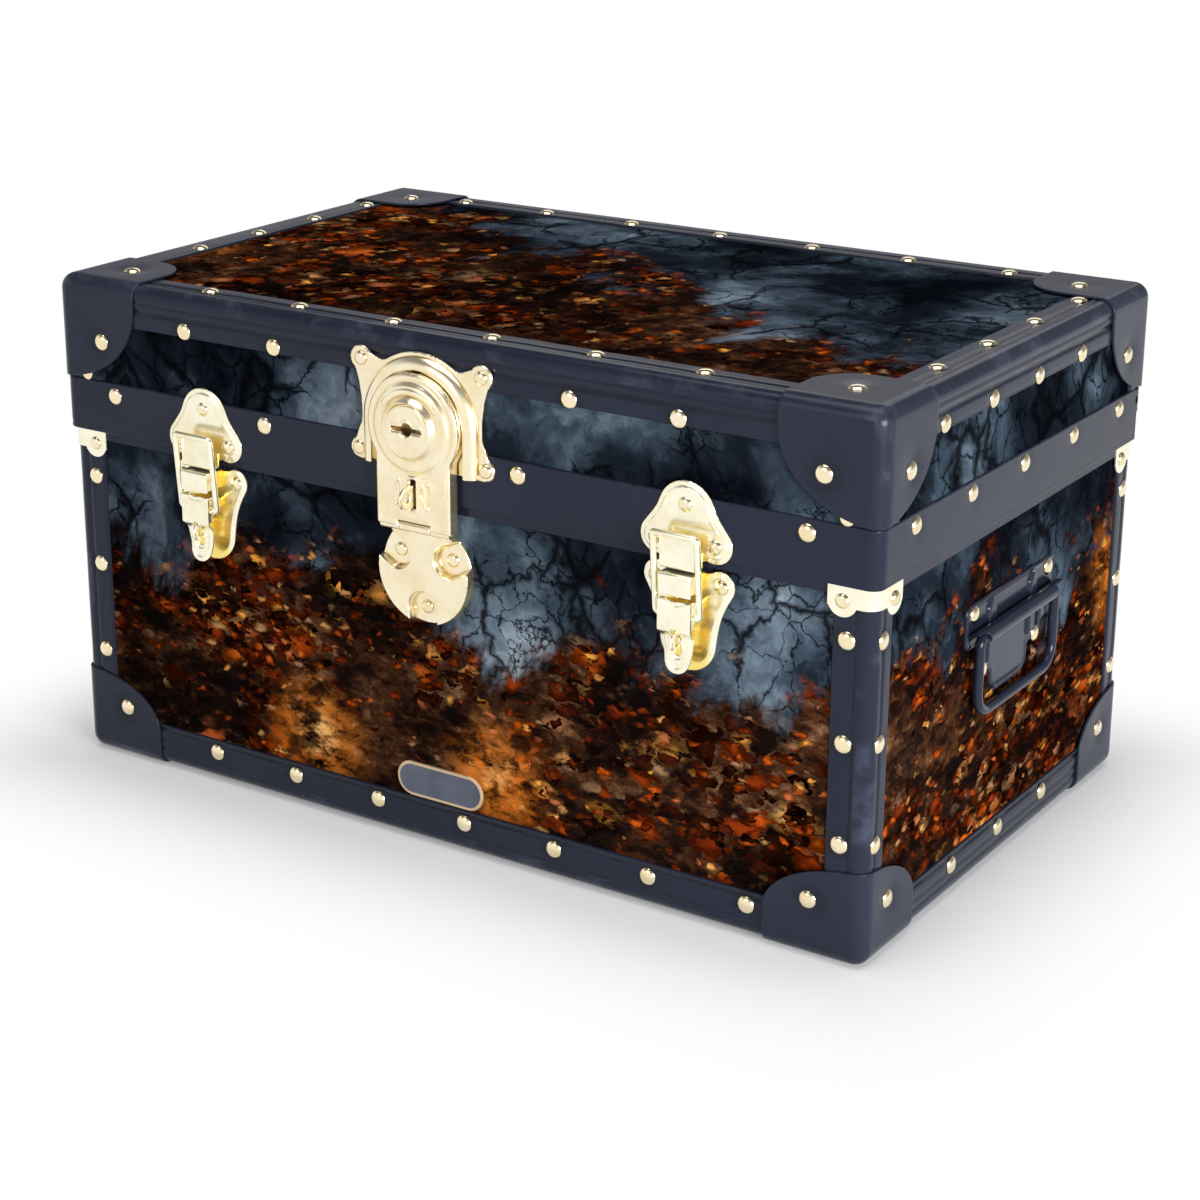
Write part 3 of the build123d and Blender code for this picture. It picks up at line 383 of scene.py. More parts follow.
def flecks(tree, at, scale, under, cover, where_thick):
    """Ragged flakes of random tone over a ground: some cells stay empty, more where the cover is thin,
    and each flake darkens towards its border."""
    cell = cells(tree, at, scale, "F1")
    gap = cells(tree, at, scale, "DISTANCE_TO_EDGE")[0]
    pick = put(tree, "ShaderNodeSeparateColor", {0: cell["Color"]}).outputs
    tone = ramp(tree, pick[0], (0.0, (0.010, 0.004, 0.002)), (0.32, (0.060, 0.012, 0.004)),
                (0.58, (0.24, 0.030, 0.004)), (0.76, (0.56, 0.095, 0.008)), (0.88, (0.34, 0.20, 0.10)),
                (1.0, (1.0, 0.40, 0.06)))
    shade = band(tree, cell["Distance"], 0.62, 0.05, 0.18, 1.15)
    grey = put(tree, "ShaderNodeCombineColor", {0: shade, 1: shade, 2: shade}).outputs[0]
    tone = blend(tree, 1.0, tone, grey, mode="MULTIPLY")
    chance = calc(tree, "MULTIPLY", where_thick, cover)
    here = calc(tree, "MULTIPLY", calc(tree, "LESS_THAN", pick[1], chance), band(tree, gap, 0.02, 0.07))
    return blend(tree, here, under, tone)


ember, ember_in, ember_out = new_group("ember", [("Place", VECTOR, None)], [("Colour", COLOUR)])
at = ember_in.outputs["Place"]
tilted = moved(ember, at, (1.0, 1.0, 1.7), (0.25, 0.35, 0.5))
ragged = stirred(ember, tilted, 85.0, 0.017)
drift = noise(ember, tilted, 9.0, 8.0, 0.62, 0.8)
fine = noise(ember, ragged, 60.0, 9.0, 0.72)
ground = ramp(ember, calc(ember, "MULTIPLY_ADD", fine, 0.60, calc(ember, "MULTIPLY", drift, 0.40)),
              (0.40, (0.003, 0.002, 0.002)), (0.48, (0.014, 0.006, 0.004)), (0.55, (0.060, 0.022, 0.009)),
              (0.62, (0.190, 0.095, 0.045)), (0.72, (0.42, 0.28, 0.16)))
heap = band(ember, noise(ember, at, 13.0, 4.0, 0.55), 0.36, 0.62)
hot = ground
for flake_scale, flake_cover in ((38.0, 0.45), (74.0, 0.62), (150.0, 0.55)):
    hot = flecks(ember, ragged, flake_scale, hot, flake_cover, heap)
spot = cells(ember, at, 7.0, "F1")["Distance"]
glow = calc(ember, "MULTIPLY", band(ember, spot, 0.30, 0.0), band(ember, fine, 0.36, 0.60))
hot = blend(ember, glow, hot, (0.90, 0.26, 0.03, 1.0))
core = calc(ember, "MULTIPLY", band(ember, spot, 0.13, 0.0), band(ember, fine, 0.40, 0.56))
hot = blend(ember, core, hot, (1.0, 0.66, 0.24, 1.0))
hollow = band(ember, noise(ember, ragged, 24.0, 6.0, 0.65), 0.50, 0.38)
hot = blend(ember, calc(ember, "MULTIPLY", hollow, 0.88), hot, (0.004, 0.003, 0.003, 1.0))
ember.links.new(hot, ember_out.inputs["Colour"])
print("print groups", len(smoke.nodes), len(ember.nodes))

# %% [markdown]
# A board is printed and varnished outside, bare birch plywood inside, and shows its plies on the cut
# edge. A point is outside when it lies on the case's outer planes, so one material serves all boards
# of a half. Where the smoke gives way to the embers differs on the lid's top and on the sides.

# %% Board material
ON_PLANE = 0.0004
END_BOARD = 0.0066
FAR_OFF = 900.0


def printed(tree, where, x, y_case, z, on_top):
    """The print's colour: embers low down and smoke above, with a ragged border that slopes on the top."""
    warp = noise(tree, where, 8.0, 9.0, 0.66, 0.6)
    climb_side = calc(tree, "DIVIDE", z, CASE_TOP * MM)
    climb_top = calc(tree, "ADD", calc(tree, "MULTIPLY_ADD", y_case, 2.2, 0.45),
                     calc(tree, "MULTIPLY", x, 0.9))
    climb = mix_value(tree, on_top, climb_side, climb_top)
    climb = calc(tree, "MULTIPLY_ADD", calc(tree, "SUBTRACT", warp, 0.5), 0.95, climb)
    cool, warm = [put(tree, "ShaderNodeGroup", {"Place": where}, node_tree=group).outputs[0]
                  for group in (smoke, ember)]
    picture = blend(tree, band(tree, climb, 0.47, 0.55), warm, cool)
    dusk = ramp(tree, noise(tree, where, 4.5, 4.0, 0.5, 0.5), (0.35, (0.55, 0.55, 0.57)),
                (0.65, (1.0, 1.0, 1.0)))
    return blend(tree, 1.0, picture, dusk, mode="MULTIPLY")


def plywood(tree, where, x, y, z, end_board):
    """The bare wood's colour and its grain, which runs along the box, or across it on an end board."""
    plies = put(tree, "ShaderNodeTexWave", {"Vector": where, "Scale": 210.0, "Distortion": 0.6,
                                            "Detail": 2.0}, bands_direction="DIAGONAL").outputs["Fac"]
    along, across = [mix_value(tree, end_board, *pair) for pair in ((x, y), (y, x))]
    grain_from = put(tree, "ShaderNodeCombineXYZ", {0: along, 1: across, 2: z}).outputs[0]
    figure = noise(tree, moved(tree, grain_from, (1.6, 9.0, 9.0)), 2.6, 3.0, 0.5, 1.2)
    grain = noise(tree, moved(tree, grain_from, (2.2, 130.0, 130.0)), 3.4, 7.0, 0.62, 0.3)
    grain = calc(tree, "MULTIPLY_ADD", calc(tree, "SUBTRACT", figure, 0.5), 0.55, grain)
    wood = ramp(tree, grain, (0.30, (0.44, 0.29, 0.16)), (0.50, (0.61, 0.44, 0.26)),
                (0.72, (0.72, 0.56, 0.37)))
    ply_lines = calc(tree, "MULTIPLY", band(tree, plies, 0.45, 0.6), 0.18)
    return blend(tree, ply_lines, wood, (0.36, 0.22, 0.11, 1.0)), grain


def board_material(name, half_x, half_y, top, bottom):
    """Print on the outer planes, plywood elsewhere."""
    material, tree, shader = new_material(name)
    where = object_place(tree)
    x, y, z = axes(tree, where)
    y_case = calc(tree, "SUBTRACT", y, CASE_SHIFT * MM)
    out_x, out_y = beyond(tree, x, half_x * MM), beyond(tree, y_case, half_y * MM)
    out_z = calc(tree, "MAXIMUM", calc(tree, "SUBTRACT", z, top * MM), calc(tree, "SUBTRACT", bottom * MM, z))
    reach = calc(tree, "MAXIMUM", calc(tree, "MAXIMUM", out_x, out_y), out_z)
    outside = calc(tree, "GREATER_THAN", reach, -ON_PLANE)
    on_top = calc(tree, "GREATER_THAN", out_z, -ON_PLANE)
    picture = printed(tree, where, x, y_case, z, on_top)
    wood, grain = plywood(tree, where, x, y, z, calc(tree, "GREATER_THAN", out_x, -END_BOARD))
    tree.links.new(blend(tree, outside, wood, picture), shader.inputs["Base Color"])
    sheen = calc(tree, "MULTIPLY_ADD", noise(tree, where, 30.0, 4.0, 0.6), 0.14, 0.24)
    tree.links.new(mix_value(tree, outside, 0.62, sheen), shader.inputs["Roughness"])
    relief = calc(tree, "MULTIPLY_ADD", noise(tree, where, 260.0, 3.0), 0.4,
                  calc(tree, "MULTIPLY", grain, 0.6))
    surface = put(tree, "ShaderNodeBump", {"Strength": 0.10, "Distance": 0.0005, "Height": relief})
    tree.links.new(surface.outputs[0], shader.inputs["Normal"])
    shader.inputs["Specular IOR Level"].default_value = 0.0
    return material


lid_print = board_material("lid_print", LID_X, LID_Y, LID_TOP, -FAR_OFF)
base_print = board_material("base_print", BASE_X, BASE_Y, FAR_OFF, BASE_BOTTOM)
for name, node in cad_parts.items():
    if name.endswith("_board"):
        node.data.materials.clear()
        node.data.materials.append(lid_print if name.startswith("lid_") else base_print)
print("boards painted")

# %% [markdown]
# The box stands on a pale floor in a white studio. The light is plain: a wide soft lamp overhead, a
# lower one on the right that lights the end panel, a weak one at the front left, and a weaker one behind.
# Behind everything the camera sees white, through the world's colour alone. Mirrored rays see a sky that
# is bright near the ground in front and dim behind and overhead, so the brass has contrast.

# %% Floor
FLOOR, WHITE = 6.0, (1.0, 1.0, 1.0, 1.0)
BOX_X, BOX_Y = 0.26, 0.17
floor_mesh = bpy.data.meshes.new("floor")
floor_mesh.from_pydata([(FLOOR * x, FLOOR * y, 0) for x, y in ((-1, -1), (1, -1), (1, 1), (-1, 1))],
                       [], [(0, 1, 2, 3)])
floor = bpy.data.objects.new("floor", floor_mesh)
floor_paint, floor_tree, floor_shader = new_material("floor_paper")
paper_at = object_place(floor_tree)
paper_tone = ramp(floor_tree, noise(floor_tree, paper_at, 3.0, 3.0), (0.3, (0.76, 0.76, 0.77)),
                  (0.7, (0.80, 0.80, 0.80)))
floor_tree.links.new(paper_tone, floor_shader.inputs["Base Color"])
floor_x, floor_y, _ = axes(floor_tree, paper_at)
away = length(floor_tree, *[calc(floor_tree, "MAXIMUM", beyond(floor_tree, at, half), 0.0)
                            for at, half in ((floor_x, BOX_X), (floor_y, BOX_Y))])
glare = calc(floor_tree, "MULTIPLY", sharp_rays(floor_tree)[0], band(floor_tree, away, -0.04, 0.12))
glow_shader = put(floor_tree, "ShaderNodeEmission", {"Color": WHITE, "Strength": 1.0})
floor_mix = put(floor_tree, "ShaderNodeMixShader",
                {0: glare, 1: floor_shader.outputs[0], 2: glow_shader.outputs[0]})
floor_tree.links.new(floor_mix.outputs[0], floor_tree.nodes["Material Output"].inputs["Surface"])
floor_shader.inputs["Roughness"].default_value = 0.75
floor_shader.inputs["Specular IOR Level"].default_value = 0.2
floor_mesh.materials.append(floor_paint)
bpy.context.scene.collection.objects.link(floor)
print("floor", floor.name)


# %% Lamps
def soft_lamp(name, at, aim, width, height, power, colour):
    """A rectangular lamp at a point, facing another."""
    lamp = bpy.data.lights.new(name, "AREA")
    lamp.shape = "RECTANGLE"
    lamp.size, lamp.size_y = width, height
    lamp.energy = power
    lamp.color = colour
    holder = bpy.data.objects.new(name, lamp)
    way = (np.asarray(at, float) - np.asarray(aim, float))
    way = way / np.linalg.norm(way)
    side = np.cross((0.0, 0.0, 1.0), way)
    side = side / np.linalg.norm(side)
    top = np.cross(way, side)
    holder.matrix_world = Matrix([[side[i], top[i], way[i], at[i]] for i in range(3)] + [[0, 0, 0, 1]])
    bpy.context.scene.collection.objects.link(holder)
    return holder


lamps = [
    soft_lamp("key_lamp", (-0.2, -1.8, 1.2), (0, 0, 0.12), 1.2, 0.9, 4.5, (1.0, 0.985, 0.96)),
    soft_lamp("top_lamp", (0.1, -0.2, 1.9), (0, 0, 0.15), 1.7, 1.2, 19.0, (1.0, 1.0, 1.0)),
    soft_lamp("side_lamp", (1.50, -0.80, 0.36), (0.1, 0, 0.08), 0.8, 0.6, 32.0, (0.97, 0.985, 1.0)),
    soft_lamp("back_lamp", (-0.6, 1.6, 1.3), (0, 0, 0.2), 1.6, 0.6, 3.5, (1.0, 1.0, 1.0)),
]
for lamp in lamps:
    lamp.visible_camera = False
print("lamps", [lamp.name for lamp in lamps])

# %% Sky
world = bpy.data.worlds.new("studio")
bpy.context.scene.world = world
world.use_nodes = True
sky_tree = world.node_tree
_, sky_back, sky_up = axes(sky_tree, put(sky_tree, "ShaderNodeTexCoord").outputs["Generated"])
studio = ramp(sky_tree, sky_up, (0.0, (0.20, 0.20, 0.21)), (0.35, (0.26, 0.26, 0.27)),
              (0.9, (0.38, 0.38, 0.38)))
front_sky = ramp(sky_tree, sky_up, (0.0, (1.0, 1.0, 1.0)), (0.33, (0.95, 0.95, 0.95)),
                 (0.60, (0.26, 0.26, 0.27)), (1.0, (0.09, 0.09, 0.10)))
dim_sky = ramp(sky_tree, sky_up, (0.0, (0.40, 0.40, 0.42)), (0.33, (0.30, 0.30, 0.32)),
               (0.60, (0.20, 0.20, 0.21)), (1.0, (0.09, 0.09, 0.10)))
mirrored_sky = blend(sky_tree, band(sky_tree, sky_back, 0.05, 0.45), front_sky, dim_sky)
sharp_ray, camera_ray = sharp_rays(sky_tree)
seen = blend(sky_tree, camera_ray, mirrored_sky, WHITE)
seen = blend(sky_tree, sharp_ray, studio, seen)
sky_tree.links.new(seen, sky_tree.nodes["Background"].inputs["Color"])
sky_tree.nodes["Background"].inputs["Strength"].default_value = 1.0
print("sky", world.name)

# %% [markdown]
# Every new piece comes from arrays of points. A "sweep" is a stack of closed rings: ring after ring of
# points, joined to the next, with both ends drawn together. A bar, a bent strap, an edge angle and a
# domed rivet are all sweeps with other rings.

# %% Mesh helpers
pieces = {}


def sweep(rings, joined_ends=False):
    """Points (rings, around, 3) to a skin of quads: each ring is closed, and each end is drawn to its
    middle unless the last ring joins the first."""
    rings = np.asarray(rings, float)
    if not joined_ends:
        first = np.repeat(rings[:1].mean(axis=1, keepdims=True), rings.shape[1], axis=1)
        last = np.repeat(rings[-1:].mean(axis=1, keepdims=True), rings.shape[1], axis=1)
        rings = np.concatenate([first, rings, last])
    count, around = rings.shape[:2]
    ids = np.arange(count * around).reshape(count, around)
    if joined_ends:
        ids = np.concatenate([ids, ids[:1]])
    right_of = np.roll(ids, -1, axis=1)
    quads = np.stack([ids[:-1], right_of[:-1], right_of[1:], ids[1:]], axis=-1).reshape(-1, 4)
    return rings.reshape(-1, 3), quads


def sheet_skin(points):
    """Points (rows, columns, 3) to an open skin of quads."""
    rows, columns = points.shape[:2]
    ids = np.arange(rows * columns).reshape(rows, columns)
    quads = np.stack([ids[:-1, :-1], ids[:-1, 1:], ids[1:, 1:], ids[1:, :-1]], axis=-1).reshape(-1, 4)
    return points.reshape(-1, 3), quads


def with_wear_and_shade(skin, wear_and_shade):
    """A sweep's skin with its values for wear and painted light, paler on crests and darker in creases: one
    for all points, or one for each point of its rings, to which those of the two drawn ends are added."""
    points, quads = skin
    wear_and_shade = np.asarray(wear_and_shade, float)
    if wear_and_shade.size > 1:
        wear_and_shade = np.concatenate([wear_and_shade[:1], wear_and_shade, wear_and_shade[-1:]]).reshape(-1)
    return points, quads, np.broadcast_to(wear_and_shade, (len(points),))


def merge(skins):
    """Several skins as one."""
    starts = np.cumsum([0] + [len(skin[0]) for skin in skins[:-1]])
    return (np.concatenate([skin[0] for skin in skins]),
            np.concatenate([skin[1] + start for skin, start in zip(skins, starts)]),
            np.concatenate([skin[2] for skin in skins]))


WELD = 0.004


def place_piece(name, skins, material, body, node, sharp=36.0):
    points, quads, wear_and_shade = merge(skins)
    owner = np.concatenate([np.full(len(skin[0]), i) for i, skin in enumerate(skins)])
    keys = np.column_stack([np.round(points / WELD), owner]).astype(np.int64)
    _, first, back_to = np.unique(keys, axis=0, return_index=True, return_inverse=True)
    quads = back_to.reshape(-1)[quads]
    points, wear_and_shade = points[first], wear_and_shade[first]
    same = quads == np.roll(quads, -1, axis=1)
    tris = [np.roll(quads[same[:, k] & (same.sum(axis=1) == 1)], -k, axis=1)[:, 1:] for k in range(4)]
    quads = quads[same.sum(axis=1) == 0]
    quads = quads[(quads[:, 0] != quads[:, 2]) & (quads[:, 1] != quads[:, 3])]
    mesh = bpy.data.meshes.new(name)
    mesh.from_pydata(to_frame(points).tolist(), [], quads.tolist() + np.concatenate(tris).tolist())
    # This value from -1 to 1 drives grime and painted shade in the creases, and rubbing and a painted
    # highlight on the crests.
    mesh.attributes.new("wear_and_shade", "FLOAT", "POINT").data.foreach_set("value", (2 * wear_and_shade - 1).astype(np.float32))
    shape = bmesh.new()
    shape.from_mesh(mesh)
    bmesh.ops.recalc_face_normals(shape, faces=shape.faces)
    shape.to_mesh(mesh)
    shape.free()
    mesh.shade_smooth()
    mesh.set_sharp_from_angle(angle=math.radians(sharp))
    mesh.materials.append(material)
    piece = bpy.data.objects.new(name, mesh)
    bpy.context.scene.collection.objects.link(piece)
    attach(piece, body)
    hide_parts(node)
    pieces[name] = piece


def flip(skins):
    """Skins mirrored, left to right."""
    return [(skin[0] * (-1, 1, 1), *skin[1:]) for skin in skins]


def bell(distance, width):
    """A smooth hump: 1 at no distance, falling to nothing over a few widths."""
    return np.exp(-(np.asarray(distance) / width) ** 2)


def soft_step(value, low, high):
    """0 below low, 1 above high, with a smooth S between."""
    t = np.clip((np.asarray(value) - low) / (high - low), 0, 1)
    return t * t * (3 - 2 * t)


print("mesh helpers ready")

# %% [markdown]
# The rivets set the rhythm of the whole box. Their places are worked out once, row by row, because the
# sheet is also dimpled wherever a rivet draws it down.

# %% Rivet places
def row(x, y, z, facing, radius):
    """A row of rivets: any of x, y, z may be a list; facing is the outward axis."""
    x, y, z = np.broadcast_arrays(np.atleast_1d(x), np.atleast_1d(y), np.atleast_1d(z))
    way = np.broadcast_to(np.asarray(facing, float), (x.size, 3))
    return np.column_stack([x, y, z, way, np.full(x.size, radius)]).astype(float)


def both(rows, across):
    """A row and its mirror image."""
    turned = rows.copy()
    turned[:, across] *= -1
    turned[:, 3 + across] *= -1
    return np.concatenate([rows, turned])


FRONT, BACK, RIGHT, LEFT, UP, DOWN = (0, -1, 0), (0, 1, 0), (1, 0, 0), (-1, 0, 0), (0, 0, 1), (0, 0, -1)
BIG, SMALL = 4.75, 3.9
lid_x, lid_y, lid_top = LID_X + SHEET, LID_Y + SHEET, LID_TOP + SHEET
base_x, base_y = BASE_X + SHEET, BASE_Y + SHEET
front_leg = np.linspace(-167, 148, 6)
lid_rows = np.concatenate([
    row(front_leg[abs(front_leg - LOCK_AT) > 50], -lid_y, 265, FRONT, BIG),
    row(np.linspace(-161, 153, 6), -142.6, lid_top, UP, BIG),
    row(np.linspace(-194.25, 182, 7), 142.6, lid_top, UP, BIG),
    row(np.linspace(-173, 173, 6), lid_y, 265, BACK, BIG),
    both(row(lid_x, np.linspace(-95, 69, 4), 265, RIGHT, BIG), 0),
    both(row(lid_x, np.linspace(-122, 127, 5), 221.3, RIGHT, BIG), 0),
    row(lid_x - 17, np.linspace(-71.5, 100.5, 4), lid_top, UP, BIG),
    row(17 - lid_x, np.linspace(-59, 100.5, 4), lid_top, UP, BIG),
    row([-220.6, -112, 54, 219.6], -lid_y, 220.5, FRONT, BIG)])
lid_cap_rows = both(both(np.concatenate([
    row(228, -161, 251, FRONT, BIG), row(260, -132, 251, RIGHT, BIG), row(229, -131, 287, UP, BIG)]), 0), 1)
lid_fitting_rows = np.concatenate([
    row([-172, -128, 128, 172], lid_y + SHEET, 222, BACK, SMALL),
    both(row(LATCH_AT, -161.2, 223.6, FRONT, SMALL), 0),
    both(row([LATCH_AT - 17, LATCH_AT + 17], -161.2, 204.6, FRONT, SMALL), 0),
    row([LOCK_AT - 38.2, LOCK_AT + 38.2], -161.2, 268.6, FRONT, SMALL),
    row([LOCK_AT - 40.4, LOCK_AT + 40.4], -161.2, 220.1, FRONT, SMALL)])
back_row = np.linspace(-173, 173, 6)
base_rows = np.concatenate([
    row(np.linspace(-158, 190.5, 7), -base_y, 18, FRONT, BIG),
    row(back_row, base_y, 18, BACK, BIG),
    both(row(base_x, [-57, 0, 57], 18, RIGHT, BIG), 0),
    both(both(row(241.1, -base_y, [64, 117, 170], FRONT, BIG), 0), 1),
    both(both(row(base_x, -146.6, [64, 117, 170], RIGHT, BIG), 0), 1)])
base_cap_rows = both(both(np.concatenate([
    row(225.5, -158.5, 31, FRONT, BIG), row(257.5, -132.5, 30, RIGHT, BIG)]), 0), 1)
clip_rows = both(both(np.concatenate([
    row(238.9, -157.9, 190, FRONT, SMALL), row(256.9, -138.9, 189.5, RIGHT, SMALL)]), 0), 1)
hinge_rows = row([-172, -128, 128, 172], 158.5, 199.5, BACK, SMALL)
fitting_rows = np.concatenate([
    both(row([LATCH_AT - 18.8, LATCH_AT + 18.8], -157.3, 183.2, FRONT, SMALL), 0),
    row([LOCK_AT - 16.8, LOCK_AT + 16.8], -157.3, 166.9, FRONT, SMALL),
    row(LOCK_AT, -157.3, 138.1, FRONT, SMALL),
    both(both(row(256.2, 45.5, 152.7, RIGHT, BIG), 0), 1),
    both(both(row(256.2, 32.8, 119, RIGHT, BIG), 0), 1)])
print("rivets", sum(len(r) for r in (lid_rows, lid_cap_rows, lid_fitting_rows, base_rows, base_cap_rows,
                                     clip_rows, hinge_rows, fitting_rows)))


def dimples(points, rows, depth, width):
    """How far the sheet is drawn down at each point: the deepest of the dips round the rivets."""
    gap = np.linalg.norm(points[..., None, :] - rows[:, :3], axis=-1)
    return depth * bell(gap, width).max(axis=-1)


# %% [markdown]
# A rivet's head is a shallow dome with a steep lower edge. The heads make three pieces: the lid's, the
# base's and those of the fittings. Each head is a sweep of seven rings about the rivet's own axis.

# %% Rivets
def domes(rows, height=2.0, sink=0.0):
    """Heads as sweeps: each ring has its share of the rivet's radius and its lift over the sheet."""
    around = np.linspace(0, 2 * np.pi, 18, endpoint=False)
    out = np.array([0.90, 1.0, 1.0, 0.93, 0.74, 0.48, 0.2])
    lift = np.array([-0.6, -0.6, 0.18, 0.62, 1.30, 1.76, 1.97]) * height / 2.0
    # Painted light: these values pale the dome's top as a painted highlight and rub, and darken its foot as
    # painted shade where it meets the sheet.
    rubbed_and_shaded = np.array([0.1, 0.15, 0.25, 0.6, 0.8, 0.9, 0.9])
    skins = []
    for x, y, z, nx, ny, nz, radius in rows:
        normal = np.array([nx, ny, nz])
        side = np.cross(normal, (0.0, 0.0, 1.0)) if abs(nz) < 0.5 else np.array([1.0, 0.0, 0.0])
        side = side / np.linalg.norm(side)
        other = np.cross(normal, side)
        ring = np.cos(around)[:, None] * side + np.sin(around)[:, None] * other
        points = (np.array([x, y, z]) + radius * out[:, None, None] * ring[None]
                  + (lift - sink)[:, None, None] * normal)
        skins.append(with_wear_and_shade(sweep(points), np.repeat(rubbed_and_shaded[:, None], len(around), axis=1)))
    return skins


tucked = both(both(row(240.6, -lid_y, 231.5, FRONT, SMALL), 0), 1)
lid_heads = (domes(lid_rows, sink=0.45) + domes(lid_cap_rows, sink=0.9) + domes(lid_fitting_rows)
             + domes(tucked, height=1.2))
base_heads = (domes(base_rows, sink=0.45) + domes(base_cap_rows, sink=0.9) + domes(clip_rows)
              + domes(hinge_rows))
for part, heads, body in (("lid", lid_heads, "lid"), ("base", base_heads, "base"),
                          ("fitting", domes(fitting_rows), "base")):
    place_piece(f"{part}_rivet_heads", heads, rivet_brass, body, f"{part}_rivets")
print("rivet faces", [len(pieces[n].data.polygons) for n in pieces])

# %% [markdown]
# An edge angle is a strip of sheet bent round the case's edge. Its section runs over one leg, round the
# nose and down the other leg. The sheet has shallow rolled grooves, eased free edges, and a dimple at
# each rivet, and those make the long streaks of light on the real box.

# %% Edge angles
RUN_STEP = 2.2
NOT_ROLLED = 0.5


def leg_height(inset, leg, grooves):
    """The sheet's height over the board, by distance in from the sharp edge: flat, less the grooves,
    rounded off at the leg's free edge."""
    height = np.full_like(inset, SHEET)
    for centre, width, depth in grooves:
        height = height - depth * bell(inset - centre, width)
    return height * np.sqrt(np.clip(1 - np.clip(1 - (leg - inset) / 0.9, 0, 1) ** 2, 0, 1))


def leg_stops(leg):
    """Places across one leg, from the nose to the free edge: even steps, then finer ones at the edge."""
    return np.concatenate([np.linspace(NOSE, leg - 1.2, 22), leg - np.array([0.9, 0.6, 0.35, 0.15, 0.0])])


def angle_section(leg_a, leg_b, grooves_a, grooves_b):
    """The section's points on the board, as distances back from both faces, with their outward turn,
    the sheet's height there and the inset from the sharp edge: leg a, quarter circle, leg b."""
    inset_a, inset_b = leg_stops(leg_a), leg_stops(leg_b)
    turn = np.linspace(0, np.pi / 2, 9)[1:-1]
    bend = np.full(len(turn), NOSE)
    inset = np.concatenate([inset_a[::-1], bend, inset_b])
    height = np.concatenate([leg_height(inset_a, leg_a, grooves_a)[::-1], np.full(len(turn), SHEET),
                             leg_height(inset_b, leg_b, grooves_b)])
    turn = np.concatenate([np.zeros(len(inset_a)), turn, np.full(len(inset_b), np.pi / 2)])
    from_a = np.concatenate([np.full(len(inset_a), NOSE), bend, inset_b]) - NOSE * np.cos(turn)
    from_b = np.concatenate([inset_a[::-1], bend, np.full(len(inset_b), NOSE)]) - NOSE * np.sin(turn)
    return from_a, from_b, turn, height, inset


def edge_angle(run, run_from, run_to, face_a, face_b, legs, grooves, rows, corner):
    """A sweep along one straight edge. run is the axis along it, face_a and face_b are the outward axes
    of its two faces, and corner is where their planes meet at run = 0."""
    from_a, from_b, turn, height, inset = angle_section(*legs, *grooves)
    run, face_a, face_b, corner = (np.asarray(v, float) for v in (run, face_a, face_b, corner))
    outward = np.outer(np.cos(turn), face_a) + np.outer(np.sin(turn), face_b)
    across = corner - np.outer(from_a, face_a) - np.outer(from_b, face_b)
    along = np.linspace(run_from, run_to, int((run_to - run_from) / RUN_STEP))
    flat = across[None] + along[:, None, None] * run
    drawn = dimples(flat + outward * SHEET, rows, 0.55, 6.2)
    ripple = 0.03 * np.sin(along / 23.0 + 1.3)[:, None] * np.sin(inset * 0.7)[None]
    raised = height[None] > NOT_ROLLED
    outer = flat + outward * np.where(raised, height[None] - drawn + ripple, height[None])[..., None]
    inner = flat[:, ::-1][:, ::4]
    rings = np.concatenate([outer, inner], axis=1)
    # Painted light: the nose is painted paler as a highlight and rub, and the grooves and rivet dimples
    # darker as shade.
    shade = 0.5 + 0.5 * soft_step(inset, NOSE + 2.5, NOSE)[None] - 1.2 * drawn
    shade = shade - 0.6 * soft_step(SHEET - height[None], 0.1, 0.7)
    wear_and_shade = np.concatenate([np.broadcast_to(shade, outer.shape[:2]), np.zeros(inner.shape[:2])], axis=1)
    return with_wear_and_shade(sweep(rings), wear_and_shade)


lid_grooves = ([(12.4, 1.5, 0.85), (7.6, 0.9, 0.45)], [(12.6, 1.8, 1.0), (7.6, 1.1, 0.5), (21.0, 0.7, 0.3)])
base_grooves = ([(12.4, 1.5, 0.5)], [(20.0, 1.2, 1.0), (13.0, 1.2, 0.35), (7.8, 1.1, 0.55)])
halves = (
    ("lid", (LID_X, LID_Y), LID_TOP, UP, 22.6, (6, 23), lid_grooves,
     np.concatenate([lid_rows, lid_cap_rows])),
    ("base", (BASE_X, BASE_Y), BASE_BOTTOM, DOWN, 23.2, (6, 24), base_grooves,
     np.concatenate([base_rows, base_cap_rows])))
for side, face in (("front", FRONT), ("back", BACK), ("right", RIGHT), ("left", LEFT)):
    run, along = (RIGHT, 0) if face[1] else (BACK, 1)
    for half, reach, flat_at, flat_face, leg, short, grooves, rows in halves:
        end = reach[along] - short[along]
        corner = (face[0] * reach[0], face[1] * reach[1], flat_at)
        skin = edge_angle(run, -end, end, flat_face, face, (leg, leg), grooves, rows, corner)
        place_piece(f"{half}_edge_sheet_{side}", [skin], navy, half, f"{half}_edge_angle_{side}")
print("edge sheets done")

# %% [markdown]
# The corner angles stand upright between the edge angles, bent round the case's corners: long ones on
# the base, short ones on the lid behind the caps.

